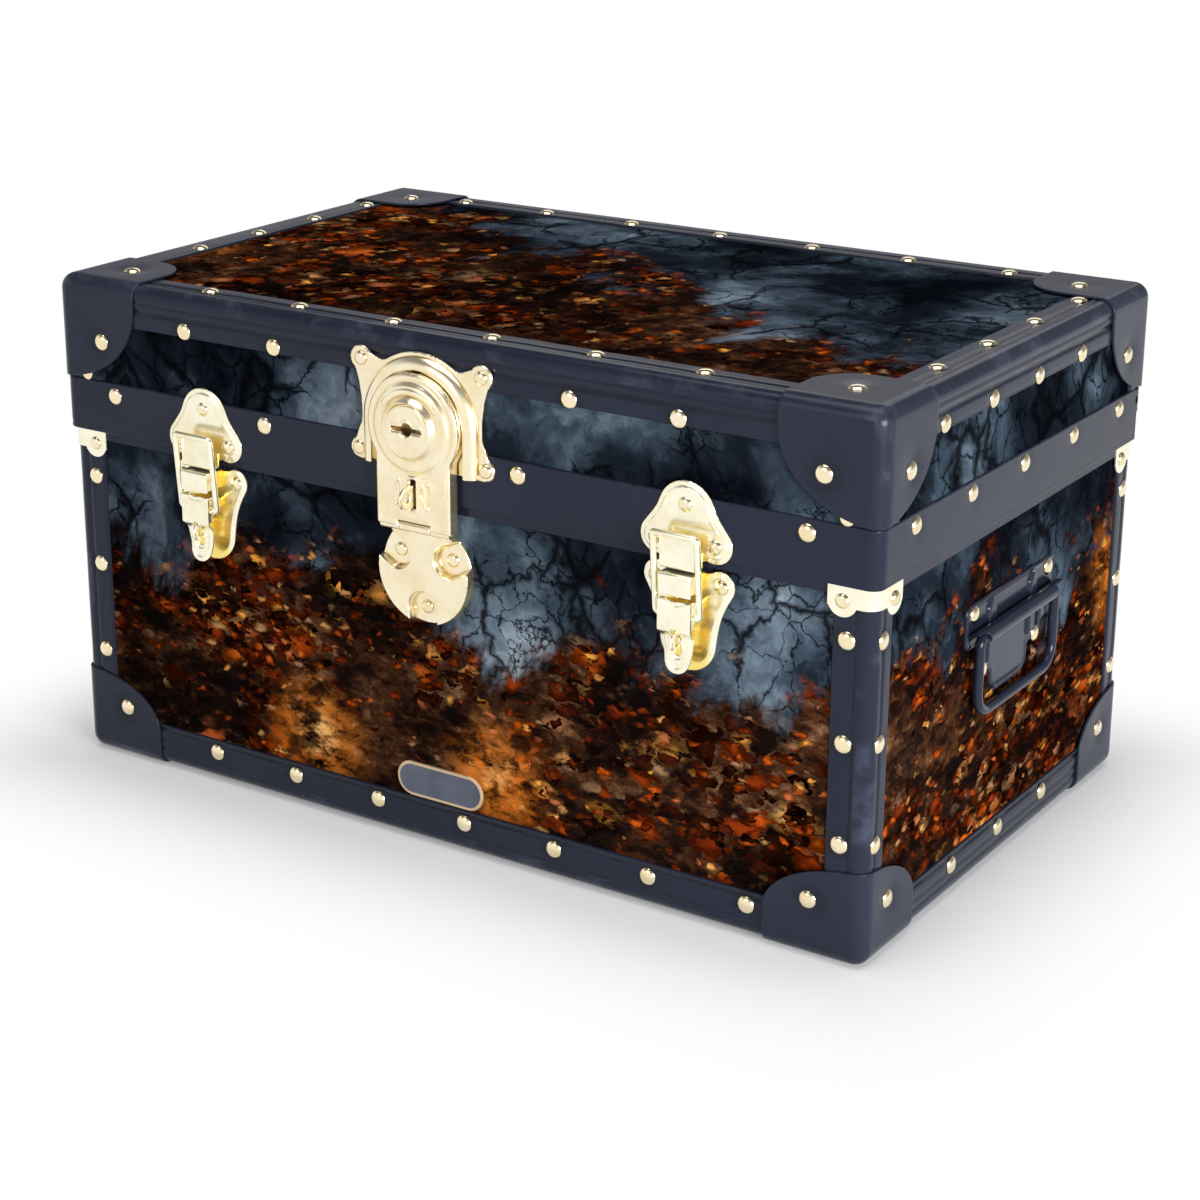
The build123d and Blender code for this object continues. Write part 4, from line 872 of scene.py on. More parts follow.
# %% Corner angles
post_grooves = ([(8.6, 1.2, 0.6), (17.4, 0.7, 0.35)], [(8.6, 1.2, 0.6), (20.6, 0.8, 0.4)])
post_rows = np.concatenate([base_rows, clip_rows, base_cap_rows])
for half, (reach_x, reach_y), low, high, rows in (
        ("lid", (LID_X, LID_Y), 228.3, 261.5, lid_cap_rows),
        ("base", (BASE_X, BASE_Y), 26.3, 212.8, post_rows)):
    posts = [edge_angle(UP, low, high, (x_way, 0, 0), (0, y_way, 0), (18.1, 21.2), post_grooves, rows,
                        (x_way * reach_x, y_way * reach_y, 0)) for x_way in (1, -1) for y_way in (-1, 1)]
    place_piece(f"{half}_corner_sheets", posts, navy, half, f"{half}_corner_angles")
print("corner sheets done")

# %% [markdown]
# The band hangs from the lid and laps over the base, to keep the rain and dust out. It is one strip
# bent round the four corners; along the back it stops at the split, so that the lid can open.

# %% Valance band
def round_case(half_x, half_y, radius, step=2.4):
    """Points and outward normals round a rectangle with rounded corners, seen from above, clockwise from
    the back right corner."""
    corner = np.linspace(0, np.pi / 2, 9)
    places, ways = [], []
    for x_way, y_way, start in ((1, 1, 0.5), (1, -1, 0.0), (-1, -1, -0.5), (-1, 1, -1.0)):
        turn = start * np.pi - corner
        ways.append(np.column_stack([np.cos(turn), np.sin(turn)]))
        centre = np.array([x_way * (half_x - radius), y_way * (half_y - radius)])
        places.append(centre + radius * ways[-1])
    filled_at, filled_way = [], []
    for i in range(4):
        filled_at.append(places[i])
        filled_way.append(ways[i])
        start, stop = places[i][-1], places[(i + 1) % 4][0]
        t = np.linspace(0, 1, max(3, int(np.linalg.norm(stop - start) / step)))[1:-1, None]
        filled_at.append(start + t * (stop - start))
        filled_way.append(np.repeat(ways[i][-1:], len(t), axis=0))
    return np.concatenate(filled_at), np.concatenate(filled_way)


def hanging_strip(keep, low, high):
    """A sweep of the band's section along the kept part of the case's outline: flat outside, with its
    upper and lower edges rounded and a fold line near each."""
    at, way = round_case(LID_X, LID_Y, NOSE)
    at, way = at[keep(at)], way[keep(at)]
    order = np.argsort(np.unwrap(np.arctan2(at[:, 0], at[:, 1] * 1.6)))
    at, way = at[order], way[order]
    z = np.concatenate([[low], low + 0.25 * np.arange(1, 5), np.linspace(low + 1.8, high - 1.6, 18),
                        high - 0.25 * np.arange(4, 0, -1), [high]])
    edge = np.minimum(z - low, high - z)
    height = SHEET * np.sqrt(np.clip(1 - (1 - np.clip(edge / 1.0, 0, 1)) ** 2, 0.02, 1))
    height = height - 0.22 * bell(z - low - 3.4, 0.7) - 0.12 * bell(high - 2.6 - z, 0.7)
    flat = np.concatenate([np.repeat(at[:, None], len(z), axis=1),
                           np.broadcast_to(z[None, :, None], (len(at), len(z), 1))], axis=2)
    outward = np.concatenate([way, np.zeros((len(way), 1))], axis=1)[:, None]
    drawn = dimples(flat + outward * SHEET, lid_rows, 0.5, 6.0)
    outer = flat + outward * (height[None] - drawn * (height[None] > 0.4))[..., None]
    inner = flat[:, ::-1][:, ::4]
    # Painted light: the rounded edges are painted paler as a highlight and rub, and the rivet dimples darker
    # as shade.
    shade = 0.5 + 0.4 * bell(edge[None] - 0.4, 0.5) - drawn
    wear_and_shade = np.concatenate([shade, np.zeros(inner.shape[:2])], axis=1)
    return with_wear_and_shade(sweep(np.concatenate([outer, inner], axis=1)), wear_and_shade)


BAND_BACK = 152.4
place_piece("valance_strip", [
    hanging_strip(lambda at: at[:, 1] <= BAND_BACK, 197.5, 228.0),
    hanging_strip(lambda at: at[:, 1] >= BAND_BACK - 2.5, 213.3, 228.0)],
    navy, "lid", "lid_valance_band")
print("band done")

# %% [markdown]
# Pressed plates have curved outlines, holes and raised patterns. Each is described by a field: a number
# for every place, below zero inside the metal and about equal to the distance from the edge. A fine grid
# is laid over it, the squares inside are kept, and the rim's points are slid onto the edge itself. Its
# own places are u across the front, z up, and w outwards.

# %% Fields
def circle(u0, z0, r):
    """Distance to a circle's edge."""
    return lambda u, z: np.hypot(u - u0, z - z0) - r


def block(u0, u1, z0, z1, r=0.0):
    """Distance to the edge of a rectangle with rounded corners."""
    def field(u, z):
        du = np.abs(u - (u0 + u1) / 2) - (u1 - u0) / 2 + r
        dz = np.abs(z - (z0 + z1) / 2) - (z1 - z0) / 2 + r
        return np.hypot(np.maximum(du, 0), np.maximum(dz, 0)) + np.minimum(np.maximum(du, dz), 0) - r
    return field


def pill(u0, z0, r0, u1, z1, r1):
    """Distance to the edge of a bar with round ends of two sizes."""
    def field(u, z):
        t = np.linspace(0, 1, 25).reshape(-1, *([1] * np.ndim(u)))
        return (np.hypot(u - u0 - t * (u1 - u0), z - z0 - t * (z1 - z0)) - r0 - t * (r1 - r0)).min(axis=0)
    return field


def joined(*fields, soft=0.01):
    """Everything inside any of the fields, with filled inner corners where soft is larger."""
    return lambda u, z: -soft * np.logaddexp.reduce([-field(u, z) / soft for field in fields])


def without(field, *holes):
    """The first field less the others."""
    return lambda u, z: np.maximum(field(u, z), -np.min([hole(u, z) for hole in holes], axis=0))


def mirrored(field):
    """The field and its mirror image in u = 0."""
    return lambda u, z: np.minimum(field(u, z), field(-u, z))


# %% Plates
def plate(field, box, step, front, back, edge=0.5):
    """A closed plate over the field's inside. front and back give its two faces from place and inset;
    the front's edge is rolled over by a quarter circle of radius edge."""
    u0, u1, z0, z1 = box
    u, z = np.meshgrid(np.arange(u0, u1 + step, step), np.arange(z0, z1 + step, step), indexing="ij")
    middle = field((u[:-1, :-1] + u[1:, 1:]) / 2, (z[:-1, :-1] + z[1:, 1:]) / 2) < 0
    ids = np.arange(u.size).reshape(u.shape)
    squares = np.stack([ids[:-1, :-1], ids[1:, :-1], ids[1:, 1:], ids[:-1, 1:]], axis=-1)[middle]
    edges = np.stack([squares, np.roll(squares, -1, axis=1)], axis=-1).reshape(-1, 2)
    key = np.sort(edges, axis=1) @ np.array([u.size, 1])
    _, at, times = np.unique(key, return_index=True, return_counts=True)
    rim = edges[at[times == 1]]
    kept, where = np.unique(squares, return_inverse=True)
    where = where.reshape(squares.shape)
    rim = np.searchsorted(kept, rim)
    u, z = u.reshape(-1)[kept], z.reshape(-1)[kept]
    on_rim = np.unique(rim)
    for _ in range(3):
        rim_u, rim_z = u[on_rim], z[on_rim]
        distance = field(rim_u, rim_z)
        slope_u = (field(rim_u + 0.02, rim_z) - field(rim_u - 0.02, rim_z)) / 0.04
        slope_z = (field(rim_u, rim_z + 0.02) - field(rim_u, rim_z - 0.02)) / 0.04
        size = np.maximum(slope_u ** 2 + slope_z ** 2, 0.3)
        u[on_rim] -= distance * slope_u / size
        z[on_rim] -= distance * slope_z / size
    inset = np.maximum(-field(u, z), 0)
    inset[on_rim] = 0
    roll = edge * (1 - np.sqrt(np.clip(1 - (1 - np.clip(inset / edge, 0, 1)) ** 2, 0, 1)))
    face = front(u, z, inset)
    rear = back(u, z, inset)
    points = np.concatenate([np.column_stack([u, face - roll, z]), np.column_stack([u, rear, z])])
    count = len(kept)
    quads = np.concatenate([where, where[:, ::-1] + count,
                            np.column_stack([rim[:, 1], rim[:, 0], rim[:, 0] + count, rim[:, 1] + count])])
    # Painted light: ridges and the rolled rim are painted paler as highlights and rub, hollows darker as
    # shade; the back face takes the crease end.
    near = [front(u + a, z + b, inset) for a, b in ((0.9, 0), (-0.9, 0), (0, 0.9), (0, -0.9))]
    crest = np.clip(0.5 + 1.1 * (face - np.mean(near, axis=0)), 0, 1)
    wear_and_shade = np.concatenate([crest + 0.35 * bell(inset, 0.8), np.zeros(count)])
    return points, quads, wear_and_shade


def upright(skin, x):
    """A plate's own (u, w, z) to the case's front at x: w is the distance out from the middle plane."""
    points = skin[0]
    return (np.column_stack([x + points[:, 0], -points[:, 1], points[:, 2]]), *skin[1:])


def edgewise(skin, x, u):
    """A plate drawn in (w, z) with its thickness across, standing on edge at x + u on the front."""
    points = skin[0]
    return (np.column_stack([x + u + points[:, 1], -points[:, 0], points[:, 2]]), *skin[1:])


def flat(level_at):
    """A face at one level."""
    return lambda u, z, inset: np.full_like(u, level_at)


def fin(field, box, half, step=0.45):
    """A plate on edge, of even thickness about its middle, with the edge of one face rolled."""
    return plate(field, box, step, flat(half), flat(-half), edge=0.3)


def bent(points, radii, steps=7):
    """A line through the points with its corners rounded."""
    points = np.asarray(points, float)
    line = [points[0]]
    for i in range(1, len(points) - 1):
        back_way, on_way = points[i - 1] - points[i], points[i + 1] - points[i]
        back_way, on_way = back_way / np.linalg.norm(back_way), on_way / np.linalg.norm(on_way)
        half_turn = np.arccos(np.clip(back_way @ on_way, -1, 1)) / 2
        reach = radii[i - 1] / np.tan(half_turn)
        middle_way = (back_way + on_way) / np.linalg.norm(back_way + on_way)
        centre = points[i] + middle_way * radii[i - 1] / np.sin(half_turn)
        start, stop = points[i] + back_way * reach - centre, points[i] + on_way * reach - centre
        angle = np.pi - 2 * half_turn
        t = np.linspace(0, 1, steps)[:, None]
        line.extend(centre + (np.sin((1 - t) * angle) * start + np.sin(t * angle) * stop) / np.sin(angle))
    line.append(points[-1])
    return np.array(line)


def strap(path, half, thick, x):
    """Sheet bent along a path in (w, z): a rounded flat section swept along it, its width across the
    front at x, its ends eased."""
    path = np.asarray(path, float)
    way = np.gradient(path, axis=0)
    way = way / np.linalg.norm(way, axis=1)[:, None]
    normal = np.column_stack([way[:, 1], -way[:, 0]])
    path = np.concatenate([path[:1], path[:1] + way[:1] * 0.25, path[1:-1],
                           path[-1:] - way[-1:] * 0.25, path[-1:]])
    normal = np.concatenate([normal[:1], normal, normal[-1:]])
    pinch = np.ones(len(path))
    pinch[[0, -1]] = 0.75
    half = np.broadcast_to(half, (len(path),))
    r = thick * 0.3
    turn = np.linspace(0, np.pi / 2, 4)
    corner_u = np.concatenate([np.cos(turn), -np.sin(turn), -np.cos(turn), np.sin(turn)]) * r
    corner_n = np.concatenate([np.sin(turn), np.cos(turn), -np.sin(turn), -np.cos(turn)]) * r
    side_u = np.repeat([1, -1, -1, 1], 4)
    side_n = np.repeat([1, 1, -1, -1], 4)
    u = side_u * (half[:, None] - r) + corner_u
    n = (side_n * (thick / 2 - r) + corner_n) * pinch[:, None]
    w = path[:, :1] + normal[:, :1] * n
    z = path[:, 1:] + normal[:, 1:] * n
    # Painted light: the rounded corners of the section are painted a little paler as a highlight and rub.
    wear_and_shade = np.broadcast_to(0.5 + 0.3 * (np.abs(corner_u) > 0.1 * r) * (np.abs(corner_n) > 0.1 * r), u.shape)
    return with_wear_and_shade(sweep(np.stack([x + u, -w, z], axis=-1)), wear_and_shade)


def rod(path, radius, plane, around=14):
    """Round bar along a closed path of case points lying in one plane, whose normal is given."""
    path = np.asarray(path, float)
    way = np.roll(path, -1, axis=0) - np.roll(path, 1, axis=0)
    way = way / np.linalg.norm(way, axis=1)[:, None]
    normal = np.asarray(plane, float) / np.linalg.norm(plane)
    other = np.cross(normal, way)
    turn = np.linspace(0, 2 * np.pi, around, endpoint=False)
    rings = (path[:, None] + radius * (np.cos(turn)[None, :, None] * normal
                                       + np.sin(turn)[None, :, None] * other[:, None]))
    return with_wear_and_shade(sweep(rings, joined_ends=True), 0.62)


def closed_loop(corners, radii, steps=9):
    """A closed line through the corners, all rounded."""
    corners = np.asarray(corners, float)
    seam = (corners[-1:] + corners[:1]) / 2
    return bent(np.concatenate([seam, corners, seam]), radii, steps)[:-1]


print("plate helpers ready")

# %% [markdown]
# A corner cap is pressed from one sheet over the box's corner. It is drawn first on a sharp corner, as
# three flaps with curved edges that share their sides. Then every point is pulled onto the rounded
# corner: it keeps its place along the box and moves onto the cap's rounding. Rivets draw the cap down.

# %% Corner caps
CAP_X, CAP_Y, CAP_R = 57.0, 54.0, 8.6
TOP_TURN_X, TOP_TURN_Y, TOP_TURN_R = 31.0, 28.0, 26.0
CAP_INNER = 1.2
RIM_INSET = np.array([0.55, 0.28, 0.08, 0.0, 0.0])
RIM_DROP = np.array([0.0, 0.08, 0.28, 0.55, 1.2])


def stepped(*spans):
    """Fractions from 0 to 1 in spans of (from, to, how many), and five last ones at the rolled rim."""
    return np.concatenate([np.linspace(*span) for span in spans] + [np.ones(5)])


def at_rim(fractions, values):
    """The rim's values on the last five places, and none before."""
    return np.concatenate([np.zeros(len(fractions) - 5), values])


def cap_shape(straight, drop, rivets):
    """Outer and inner skins in local distances (a, b, c) from the three outer planes. Each flap is a grid
    over two of them, given by its two rows of fractions f and the curve that bounds it."""
    fa = np.concatenate([np.linspace(0, CAP_R, 8), np.linspace(CAP_R + 2, CAP_X - 1.6, 22)]) / CAP_X
    fa = np.concatenate([fa, np.ones(5)])
    fb = stepped((0, 0.16, 7), (0.19, 0.31, 4), (0.35, 0.97, 14))
    fc = stepped((0, 0.15, 7), (0.20, 0.57, 9), (0.62, 0.975, 10))
    tails = [at_rim(f, RIM_INSET) for f in (fa, fb, fc)]
    falls = [at_rim(f, RIM_DROP) for f in (fa, fb, fc)]
    xa = fa * CAP_X - tails[0]
    yb = fb * CAP_Y - tails[1]
    curve_a = straight + drop * np.sqrt(np.clip(1 - (xa / CAP_X) ** 2, 0, 1))
    curve_b = straight + drop * np.sqrt(np.clip(1 - (yb / CAP_Y) ** 2, 0, 1))
    turned = TOP_TURN_Y + np.sqrt(np.clip(TOP_TURN_R ** 2 - (xa - TOP_TURN_X) ** 2, 0, None))
    reach = np.where(xa < TOP_TURN_X, CAP_Y, turned)
    flaps = []
    for first, second, place_at, bound in ((0, 2, xa, curve_a), (1, 2, yb, curve_b), (0, 1, xa, reach)):
        f_second = (fa, fb, fc)[second]
        sharp = np.zeros((len(place_at), len(f_second), 3))
        sharp[..., first] = place_at[:, None]
        sharp[..., second] = f_second * bound[:, None] - tails[second]
        flaps.append((sharp, np.maximum(falls[first][:, None], falls[second])))
    skins = []
    for inner in (False, True):
        for sharp, lower in flaps:
            held = np.maximum(sharp, CAP_R)
            way = sharp - held
            way = way / np.linalg.norm(way, axis=-1, keepdims=True)
            humps = np.max([bell(np.linalg.norm(sharp - rivet, axis=-1), 9.0) for rivet in rivets], axis=0)
            drawn = 0.0 if inner else humps
            radius = CAP_R - (CAP_INNER if inner else np.maximum(lower, drawn * (lower < 0.9)))
            local = held + way * np.broadcast_to(radius, sharp.shape[:2])[..., None]
            # Painted light: the rounded bends are painted paler as a highlight and rub, and the rivet dimples
            # darker as shade.
            bend = (np.sort(np.abs(way), axis=-1)[..., 1] > 0.25)
            skins.append((local, np.zeros(sharp.shape[:2]) if inner else 0.5 + 0.45 * bend - 0.75 * drawn))
    return skins


CAP_SIZES = {
    "lid": ((260.0, 161.0, CASE_TOP), 15.0, 43.8, ((32, 0, 36), (0, 29, 36), (31, 30, 0))),
    "base": ((257.5, 158.5, 0.0), 21.5, 30.0, ((32, 0, 31), (0, 26, 30)))}


def place_cap(half, end, side, x_way, y_way):
    """Turn the local skins into case points for one corner and place the cap. The base's caps are measured
    upwards."""
    (plane_x, plane_y, plane_z), straight, drop, rivets = CAP_SIZES[half]
    z_way = 1 if half == "lid" else -1
    skins = []
    for local, wear_and_shade in cap_shape(straight, drop, np.array(rivets, float)):
        points = np.stack([x_way * (plane_x - local[..., 0]), y_way * (plane_y - local[..., 1]),
                           plane_z - z_way * local[..., 2]], axis=-1)
        skins.append((*sheet_skin(points), wear_and_shade.reshape(-1)))
    place_piece(f"{half}_cap_{end}_{side}", [merge(skins)], navy_cap, half, f"{half}_corner_cap_{end}_{side}",
                sharp=50.0)


for half in ("lid", "base"):
    for end, y_way in (("front", -1), ("back", 1)):
        for side, x_way in (("left", -1), ("right", 1)):
            place_cap(half, end, side, x_way, y_way)
print("caps", len(pieces["lid_cap_front_left"].data.polygons), "faces each")

# %% [markdown]
# A latch has five pieces. The strike on the lid is a bell-shaped plate whose lower edge is folded
# forward into a hook. The plate on the base carries a bracket and a staple. The lever swings in the
# bracket, has a slot for the staple and a finger tab, and draws a wire bail down over the hook.

# %% Latches
LEVER_PIVOT, BAIL_PIVOT = (166.9, 174.0), (166.9, 168.3)
STAPLE_EYE = (167.5, 155.0)
BAIL_HALF, BAIL_R, BAIL_TOP = 12.55, 1.65, (170.6, 210.3)


def strike_skins(x):
    """Bell plate with a raised middle, and the folded hook."""
    field = joined(circle(0, 219.6, 15.6), mirrored(pill(0, 217.6, 14.8, 16.6, 205.0, 9.4)),
                   block(-12, 12, 196.0, 218, 3), soft=1.0)
    face = lambda u, z, inset: 161.3 - 1.0 * soft_step(-inset, -3.4, -1.9) + 0.15 * bell(inset - 3.6, 0.5)
    bell_plate = plate(field, (-28, 28, 194, 237), 0.55, face, flat(LID_REAR))
    hook = bent([(160.6, 200.0), (160.6, 192.7), (167.9, 192.7), (167.9, 208.5)], [0.95, 0.95])
    return [upright(bell_plate, x), strap(hook, 10.0, 1.35, x)]


def latch_plate_skins(x):
    """Eared plate, bracket with two cheeks, and staple."""
    field = joined(mirrored(pill(18, 183.2, 7.8, 3, 170, 14.0)), pill(0, 172, 18.2, 0, 152.4, 15.8), soft=1.6)
    face = lambda u, z, inset: 157.3 - 0.25 * soft_step(-inset, -2.6, -1.4)
    base = plate(field, (-28, 28, 135, 194), 0.6, face, flat(BASE_REAR))
    bridge = bent([(157.0, 189.65), (170.35, 189.65), (170.35, 179.3)], [1.1])
    cheek_fins = [fin(block(156.9, 170.3, 179.4, 190.0), (155.5, 172, 178, 191), 0.7),
                  fin(pill(*LEVER_PIVOT, 2.4, 157.9, 170.8, 2.4), (155.2, 170, 167.5, 177), 0.7)]
    staple = without(joined(circle(*STAPLE_EYE, 5.3), block(156.9, 167.5, 150.2, 159.8)),
                     circle(*STAPLE_EYE, 2.6))
    staple_fin = fin(staple, (155.5, 174, 148, 162), 0.75, 0.4)
    cheeks = [edgewise(cheek_fin, x, u) for cheek_fin in cheek_fins for u in (7.0, -7.0)]
    return [upright(base, x), strap(bridge, 9.2, 1.3, x), *cheeks, edgewise(staple_fin, x, 0.0)]


def lever_skins(x):
    """Stepped lever with a slot and a tab, and the two arms that carry the bail."""
    outline = joined(block(-9.4, 9.4, 157.3, 176.6, 0.8), pill(0, 145.2, 7.2, 0, 157.9, 9.2))
    field = without(outline, block(-2.0, 2.0, 147.2, 161.5, 1.4))
    stops = np.array([136, 138, 148, 157.0, 160.6, 180]), np.array([168.6, 168.2, 166.2, 167.0, 171.0, 171.0])

    def face(u, z, inset):
        line = np.mean([np.interp(z + s, *stops) for s in (-0.9, -0.45, 0, 0.45, 0.9)], axis=0)
        moon = np.hypot(u, z - 188.6)
        line = line - 0.55 * soft_step(-moon, -14.9, -14.1) * soft_step(moon, 12.2, 12.9)
        ridge = 0.5 * bell(inset - 2.2, 0.6) * (z < 156.5)
        return line + ridge

    rear = lambda u, z, inset: face(u, z, inset) - 1.3
    shell = plate(field, (-10, 10, 137.5, 177.2), 0.4, face, rear, edge=0.35)
    arm = joined(pill(*LEVER_PIVOT, 2.7, *BAIL_PIVOT, 2.9), block(166.9, 170.6, 162.0, 176.2, 0.5))
    arm_fin = fin(arm, (163.5, 171.5, 161, 177.5), 0.7)
    return [upright(shell, x), edgewise(arm_fin, x, 8.7), edgewise(arm_fin, x, -8.7)]


def bail_skins(x):
    """The wire loop, lying in a plane that leans a little outwards."""
    corners = [(-1, BAIL_PIVOT), (-1, BAIL_TOP), (1, BAIL_TOP), (1, BAIL_PIVOT)]
    loop = closed_loop([(x + way * BAIL_HALF, -w, z) for way, (w, z) in corners], [2.2] * 4)
    lean, rise = np.subtract(BAIL_TOP, BAIL_PIVOT)
    return [rod(loop, BAIL_R, (0, rise, lean))]


for side, at_x in (("left", -LATCH_AT), ("right", LATCH_AT)):
    for part, skins, body in (("strike", strike_skins(at_x), "lid"),
                              ("plate", latch_plate_skins(at_x), "base"),
                              ("lever", lever_skins(at_x), f"{side}_lever"),
                              ("bail", bail_skins(at_x), f"{side}_bail")):
        name = "strike" if part == "strike" else f"latch_{part}"
        place_piece(f"{side}_{name}", skins, latch_brass, body, f"latch_{side}_{part}")
print("latch faces", len(pieces["left_latch_lever"].data.polygons))

# %% [markdown]
# The lock's plate on the lid has four ears and a raised arch. The hasp lies inside the arch: a shallow
# tray with a round head, raised in rings about the keyhole, and a neck with a slot. The staple of the
# plate below comes through the slot, and a padlock can go through the staple's eye.

# %% Lock
PIN_OUT, PIN_Z = 165.8, 184.0
DISC_Z, DISC_R = 158.0, 29.0
PADLOCK_EYE = (174.5, 202.0)


def arch_skin():
    """The arch: a rounded section swept up one leg, over the head and down the other."""
    turn = np.linspace(0, np.pi, 61)
    leg = np.linspace(214.9, LOCK_Z, 12)[:-1]
    out = np.concatenate([np.ones(len(leg)), np.cos(turn), -np.ones(len(leg))])
    rise = np.concatenate([leg, np.full(len(turn), LOCK_Z), leg[::-1]])
    over = np.concatenate([np.zeros(len(leg)), np.sin(turn), np.zeros(len(leg))])
    section = np.array([(29.3, 160.8), (29.2, 164.9), (29.4, 165.5), (29.9, 165.8), (31.0, 165.75),
                        (32.4, 165.4), (33.8, 164.7), (35.0, 163.7), (35.9, 162.5), (36.4, 161.3),
                        (36.4, 160.8)])
    u = out[:, None] * section[:, 0]
    z = rise[:, None] + over[:, None] * section[:, 0]
    w = np.broadcast_to(section[:, 1], u.shape)
    # Painted light: the arch's crown is painted paler as a highlight and rub, and its feet on the plate
    # darker as shade.
    wear_and_shade = np.broadcast_to(np.array([0.1, 0.6, 0.9, 0.8, 0.6, 0.55, 0.5, 0.4, 0.2, 0.0, 0.0]), u.shape)
    return with_wear_and_shade(sweep(np.stack([LOCK_AT + u, -w, z], axis=-1)), wear_and_shade)


def lock_plate_skins():
    """Eared plate, arch and the eye that the bolt goes through."""
    c = LOCK_Z
    head = joined(without(circle(0, c, 38.2), block(-99, 99, 0, c)), block(-38.2, 38.2, 214.9, c + 14))
    ears = mirrored(joined(circle(38.2, c + 30.1, 6.8), pill(38.2, c + 30.1, 5.4, 26, c + 17, 13.0)))
    lower = mirrored(joined(circle(40.4, c - 18.4, 5.5), pill(39.0, c - 16, 4.5, 35.5, c - 10, 5.0)))
    field = joined(head, ears, lower, soft=1.3)

    def face(u, z, inset):
        ear = np.minimum(np.hypot(np.abs(u) - 38.2, z - c - 30.1), np.hypot(np.abs(u) - 40.4, z - c + 18.4))
        return 161.2 - 0.3 * bell(ear, 4.6) + 0.35 * bell(inset - 0.9, 0.6) * soft_step(ear, 8.0, 6.5)

    body = plate(field, (-47, 47, 213, 277), 0.6, face, flat(LID_REAR))
    eye = without(block(160.8, 165.8, c + 13.0, c + 22.0, 0.6), block(161.8, 165.0, c + 15.4, c + 19.6, 0.3))
    eye_fin = fin(eye, (160, 166.5, c + 12.5, c + 22.5), 1.2, 0.4)
    return [upright(body, LOCK_AT), arch_skin(), edgewise(eye_fin, LOCK_AT, 0.0)]


HALF_ARC, ARC_R = 0.95, 19.6


def hasp_face(u, z, inset):
    """Height of the hasp's front: raised rings and dome on the head, embossing on the neck."""
    over = z - LOCK_Z
    r = np.hypot(u, over)
    w = 169.0 + 0.5 * bell(inset - 1.6, 0.7)
    w = w + 2.4 * soft_step(-r, -25.2, -21.4) + 0.35 * bell(r - 26.2, 0.7)
    w = w + 2.9 * soft_step(-r, -17.6, -14.4) + 0.35 * bell(r - 14.6, 0.5)
    upper = soft_step(over, -0.3, 0.7) * soft_step(r, 3.6, 5.2) + soft_step(over, 3.2, 4.4) * (r < 5.2)
    upper = np.clip(upper, 0, 1)
    hollow = 1 - np.sqrt(np.clip(1 - (np.maximum(over, 0) / 14.0) ** 2, 0, 1))
    w = w - upper * 2.3 * hollow * (r < 14)
    w = w + 0.5 * upper * soft_step(-r, -13.4, -12.2)
    arc_end = np.hypot(np.abs(u) - ARC_R * np.sin(HALF_ARC), over - ARC_R * np.cos(HALF_ARC))
    arc = np.where(np.abs(np.arctan2(u, over)) < HALF_ARC, np.abs(r - ARC_R), arc_end)
    w = w + 0.75 * soft_step(-arc, -1.7, -0.7) - 0.15 * bell(arc - 2.1, 0.5)
    w = w + 0.6 * bell(np.hypot(np.abs(u) - 18.3, over - 2.5), 1.0)
    slot = np.hypot(np.abs(u) - 9.6, np.maximum(np.abs(z - 203.0) - 5.0, 0))
    w = w + 0.65 * bell(slot - 1.9, 0.7) - 0.3 * soft_step(-slot, -1.6, -0.8)
    lip = np.maximum(np.abs(u) - 1.7, np.abs(z - 202.8) - 7.6)
    return w + 0.4 * bell(lip - 1.0, 0.7)


def knuckle(along):
    """One barrel of the hasp's hinge, through four places along its pin; both ends are eased."""
    turn = np.linspace(0, 2 * np.pi, 24, endpoint=False)
    size = np.array([2.6, 2.9, 2.9, 2.6])[:, None]
    rings = np.stack([np.broadcast_to(LOCK_AT + along[:, None], (4, 24)),
                      -PIN_OUT - size * np.cos(turn), PIN_Z + size * np.sin(turn)], axis=-1)
    return with_wear_and_shade(sweep(rings), 0.6)


def hasp_skins():
    """The pressed tray with its openings, and its two outer knuckles."""
    c = LOCK_Z
    outline = joined(circle(0, c, 28.6), block(-23.4, 23.4, 184.0, c, 0.6), soft=0.4)
    field = without(outline, joined(circle(0, c, 3.3), block(-9.5, 9.5, c - 1.15, c + 1.15, 0.6)),
                    block(-1.7, 1.7, 195.2, 210.5, 0.8), block(-10.4, 10.4, 180.0, 187.2))

    def rear(u, z, inset):
        from_edge = np.maximum(-outline(u, z), 0)
        notch = (np.abs(u) < 3.2) & (z > c + 20)
        wall = np.where(notch, 166.4, 162.05)
        return wall + (hasp_face(u, z, inset) - 1.4 - wall) * soft_step(from_edge, 1.1, 2.0)

    tray = plate(field, (-29, 29, 183.6, 267.5), 0.45, hasp_face, rear, edge=0.7)
    outer = np.array([10.3, 10.6, 21.9, 22.2])
    return [upright(tray, LOCK_AT), knuckle(outer), knuckle(-outer)]


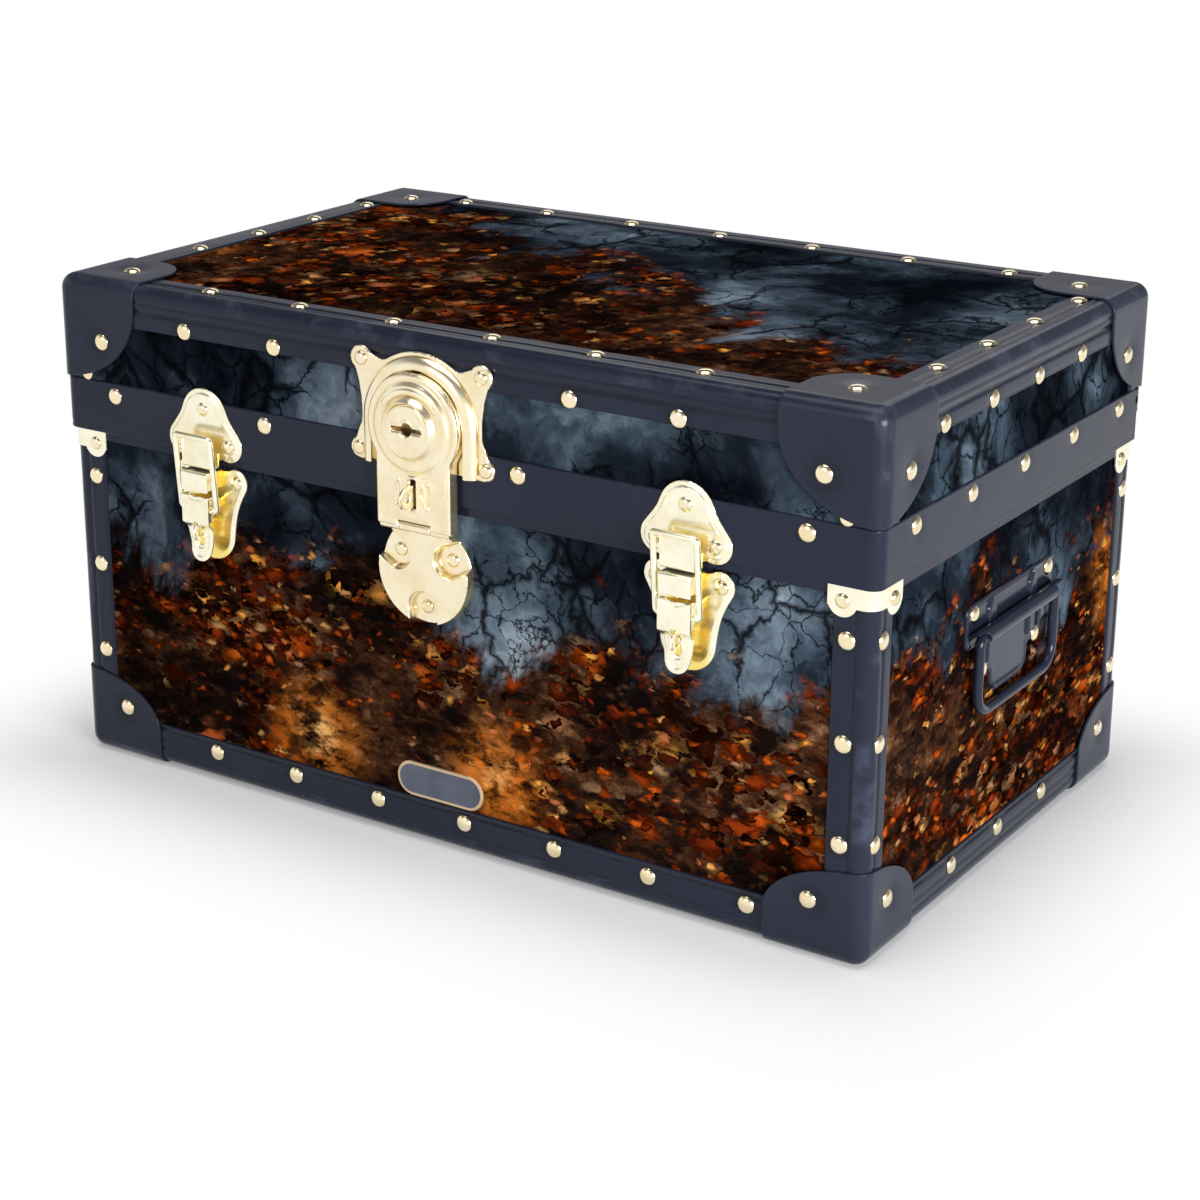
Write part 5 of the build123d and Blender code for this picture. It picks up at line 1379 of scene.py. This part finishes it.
def lock_base_skins():
    """The dished disc with three sunk places, strap, knuckle and padlock staple."""
    sunk = joined(mirrored(circle(16.8, 166.9, 8.6)), circle(0, 138.1, 8.6),
                  mirrored(pill(16.8, 166.9, 8.4, 26, 171.5, 8.0)), pill(0, 138.1, 8.4, 0, 128.0, 8.0))

    def face(u, z, inset):
        d = sunk(u, z)
        dish = 0.25 * bell(np.hypot(u, z - DISC_Z), 16)
        return 161.9 - 4.55 * soft_step(-d, -1.3, 0.8) + 0.3 * bell(d - 1.5, 0.6) - dish

    disc = plate(circle(0, DISC_Z, DISC_R), (-30, 30, 128, 188), 0.33, face, flat(BASE_REAR), edge=0.9)
    tongue = [(161.2, z) for z in (181.0, 196.0, 210.9)]
    web = bent([(161.2, PIN_Z), (161.2, 181.9), (PIN_OUT, 181.9)], [0.7])
    eye = without(joined(circle(*PADLOCK_EYE, 5.96), block(160.6, 174.5, 196.0, 208.0)),
                  circle(*PADLOCK_EYE, 2.65))
    eye_fin = fin(eye, (159.5, 181.5, 195, 209), 0.78, 0.4)
    return [upright(disc, LOCK_AT), strap(tongue, 8.0, 1.4, LOCK_AT),
            knuckle(np.array([-10.0, -9.7, 9.7, 10.0])), strap(web, 10.0, 1.3, LOCK_AT),
            edgewise(eye_fin, LOCK_AT, 0.0)]


for name, skins, body, node in (("lock_plate_on_lid", lock_plate_skins(), "lid", "lock_lid_plate"),
                                ("lock_hasp_tray", hasp_skins(), "hasp", "lock_hasp"),
                                ("lock_disc_on_base", lock_base_skins(), "base", "lock_base_plate")):
    place_piece(name, skins, lock_brass, body, node)
print("lock faces", len(pieces["lock_hasp_tray"].data.polygons))

# %% [markdown]
# A handle's plate is pressed with two ribs. Its upper edge carries a hood that is curled round the top
# bar of the drop loop, so the loop can swing up but can't come out.

# %% Handles
BAR_OUT, BAR_Z, BAR_R = 260.5, 140.5, 2.75


def handle_plate_skins():
    """The plate with its ribs, and the curled hood, for the right-hand end, in case points."""
    field = joined(block(-54.5, 54.5, 134.5, 158.5, 5.0), block(-39, 39, 117.0, 142, 3.0),
                   pill(-13, 111.5, 9.7, 13, 111.5, 9.7), soft=2.2)

    def face(u, z, inset):
        side = np.abs(np.abs(u) - 25.3)
        half = np.clip((157.5 - z) * 0.75, 0, 4.7)
        rib = soft_step(half - side, -0.2, 1.3) * soft_step(z, 120.5, 122.5)
        return 256.2 + 1.6 * rib + 0.5 * bell(inset - 1.2, 0.8)

    body = plate(field, (-55.5, 55.5, 100, 159.5), 0.8, face, flat(254.75))
    points = np.column_stack([body[0][:, 1], body[0][:, 0], body[0][:, 2]])
    along = np.concatenate([np.linspace(-52, -45, 5), np.linspace(-44, -40, 8), np.linspace(-38, 38, 20),
                            np.linspace(40, 44, 8), np.linspace(45, 52, 5)])
    first = np.radians(62 - 102 * soft_step(-np.abs(along), -44, -40))
    part = np.linspace(0, 1, 16)
    turn = first[:, None] + (np.pi - first[:, None]) * part
    ring_turn = np.concatenate([turn, turn[:, ::-1]], axis=1)
    radius = np.concatenate([4.45 - 0.25 * bell(part, 0.03), 3.12 + 0.2 * bell(part[::-1], 0.03)])
    hood = np.stack([BAR_OUT + radius * np.cos(ring_turn), np.broadcast_to(along[:, None], ring_turn.shape),
                     BAR_Z + radius * np.sin(ring_turn)], axis=-1)
    # Painted light: the hood's lip is painted paler as a highlight and rub, and its inner face darker as
    # shade inside the curl.
    wear_and_shade = np.broadcast_to(np.concatenate([0.6 + 0.4 * bell(part, 0.12), np.zeros(16)]), ring_turn.shape)
    return [(points, *body[1:]), with_wear_and_shade(sweep(hood), wear_and_shade)]


loop_corners = [(-46.4, BAR_Z), (-46.4, 98.6), (46.4, 98.6), (46.4, BAR_Z)]
loop_line = closed_loop([(BAR_OUT, y, z) for y, z in loop_corners], [4.5, 13.0, 13.0, 4.5], steps=14)
right_loop = [rod(loop_line, BAR_R, (1, 0, 0), around=18)]
for part, skins, node in (("handle_plate", handle_plate_skins(), "plate"), ("drop_loop", right_loop, "loop")):
    for side, turned in (("right", skins), ("left", flip(skins))):
        body = "base" if node == "plate" else f"{side}_handle"
        place_piece(f"{side}_{part}", turned, handle_paint, body, f"handle_{side}_{node}")
print("handle faces", len(pieces["right_handle_plate"].data.polygons))

# %% [markdown]
# The badge is a blank enamelled plate with a bare metal rim. The rim is found from the distance to the
# badge's middle line, worked out in the material.

# %% Badge
badge_paint, badge_tree, badge_shader = new_material("badge_enamel")
badge_place = object_place(badge_tree)
badge_x, _, badge_z = axes(badge_tree, badge_place)
from_middle = calc(badge_tree, "SUBTRACT", badge_x, 0.5 * MM)
along_x = calc(badge_tree, "MAXIMUM", beyond(badge_tree, from_middle, 18.5 * MM), 0.0)
up_z = calc(badge_tree, "SUBTRACT", badge_z, 36.3 * MM)
rim_mask = band(badge_tree, length(badge_tree, along_x, up_z), 8.1 * MM, 8.5 * MM)
handled(badge_tree, badge_shader, 1.0, 0.34, 0.15, 0.12)
mottle = ramp(badge_tree, noise(badge_tree, badge_place, 60.0, 5.0),
              (0.35, (0.050, 0.058, 0.085)), (0.7, (0.085, 0.095, 0.135)))
badge_tone = blend(badge_tree, rim_mask, mottle, (0.62, 0.46, 0.27, 1.0))
badge_tree.links.new(badge_tone, badge_shader.inputs["Base Color"])
badge_tree.links.new(calc(badge_tree, "MULTIPLY", rim_mask, 0.8), badge_shader.inputs["Metallic"])
badge = plate(pill(-18, 36.3, 10.0, 19, 36.3, 10.0), (-29, 30, 25.5, 47), 0.6,
              lambda u, z, inset: 156.9 - 0.3 * soft_step(inset, 1.7, 2.2), flat(BASE_REAR))
place_piece("blank_badge", [upright(badge, 0.0)], badge_paint, "base", "badge_plate")
print("badge faces", len(pieces["blank_badge"].data.polygons))

# %% [markdown]
# The plain folded pieces, the hinges and the lock's inner parts keep the construction model's own shape.
# They only need a finish, so their meshes are used as they are.

# %% Finishes on the construction model's own pieces
own = {
    "base_rim_strips": navy, "rim_corner_clips": latch_brass, "hinge_base_leaves": hinge_brass,
    "hinge_lid_leaves": hinge_brass, "hinge_pins": hinge_brass, "latch_pins": latch_brass,
    "lock_hinge_pin": lock_brass, "lock_case": hinge_brass, "lock_tumbler": hinge_brass,
    "lock_bolt": lock_brass}
for name, finish in own.items():
    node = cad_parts[name]
    node.data.materials.clear()
    node.data.materials.append(finish)
print("finished", len(own))
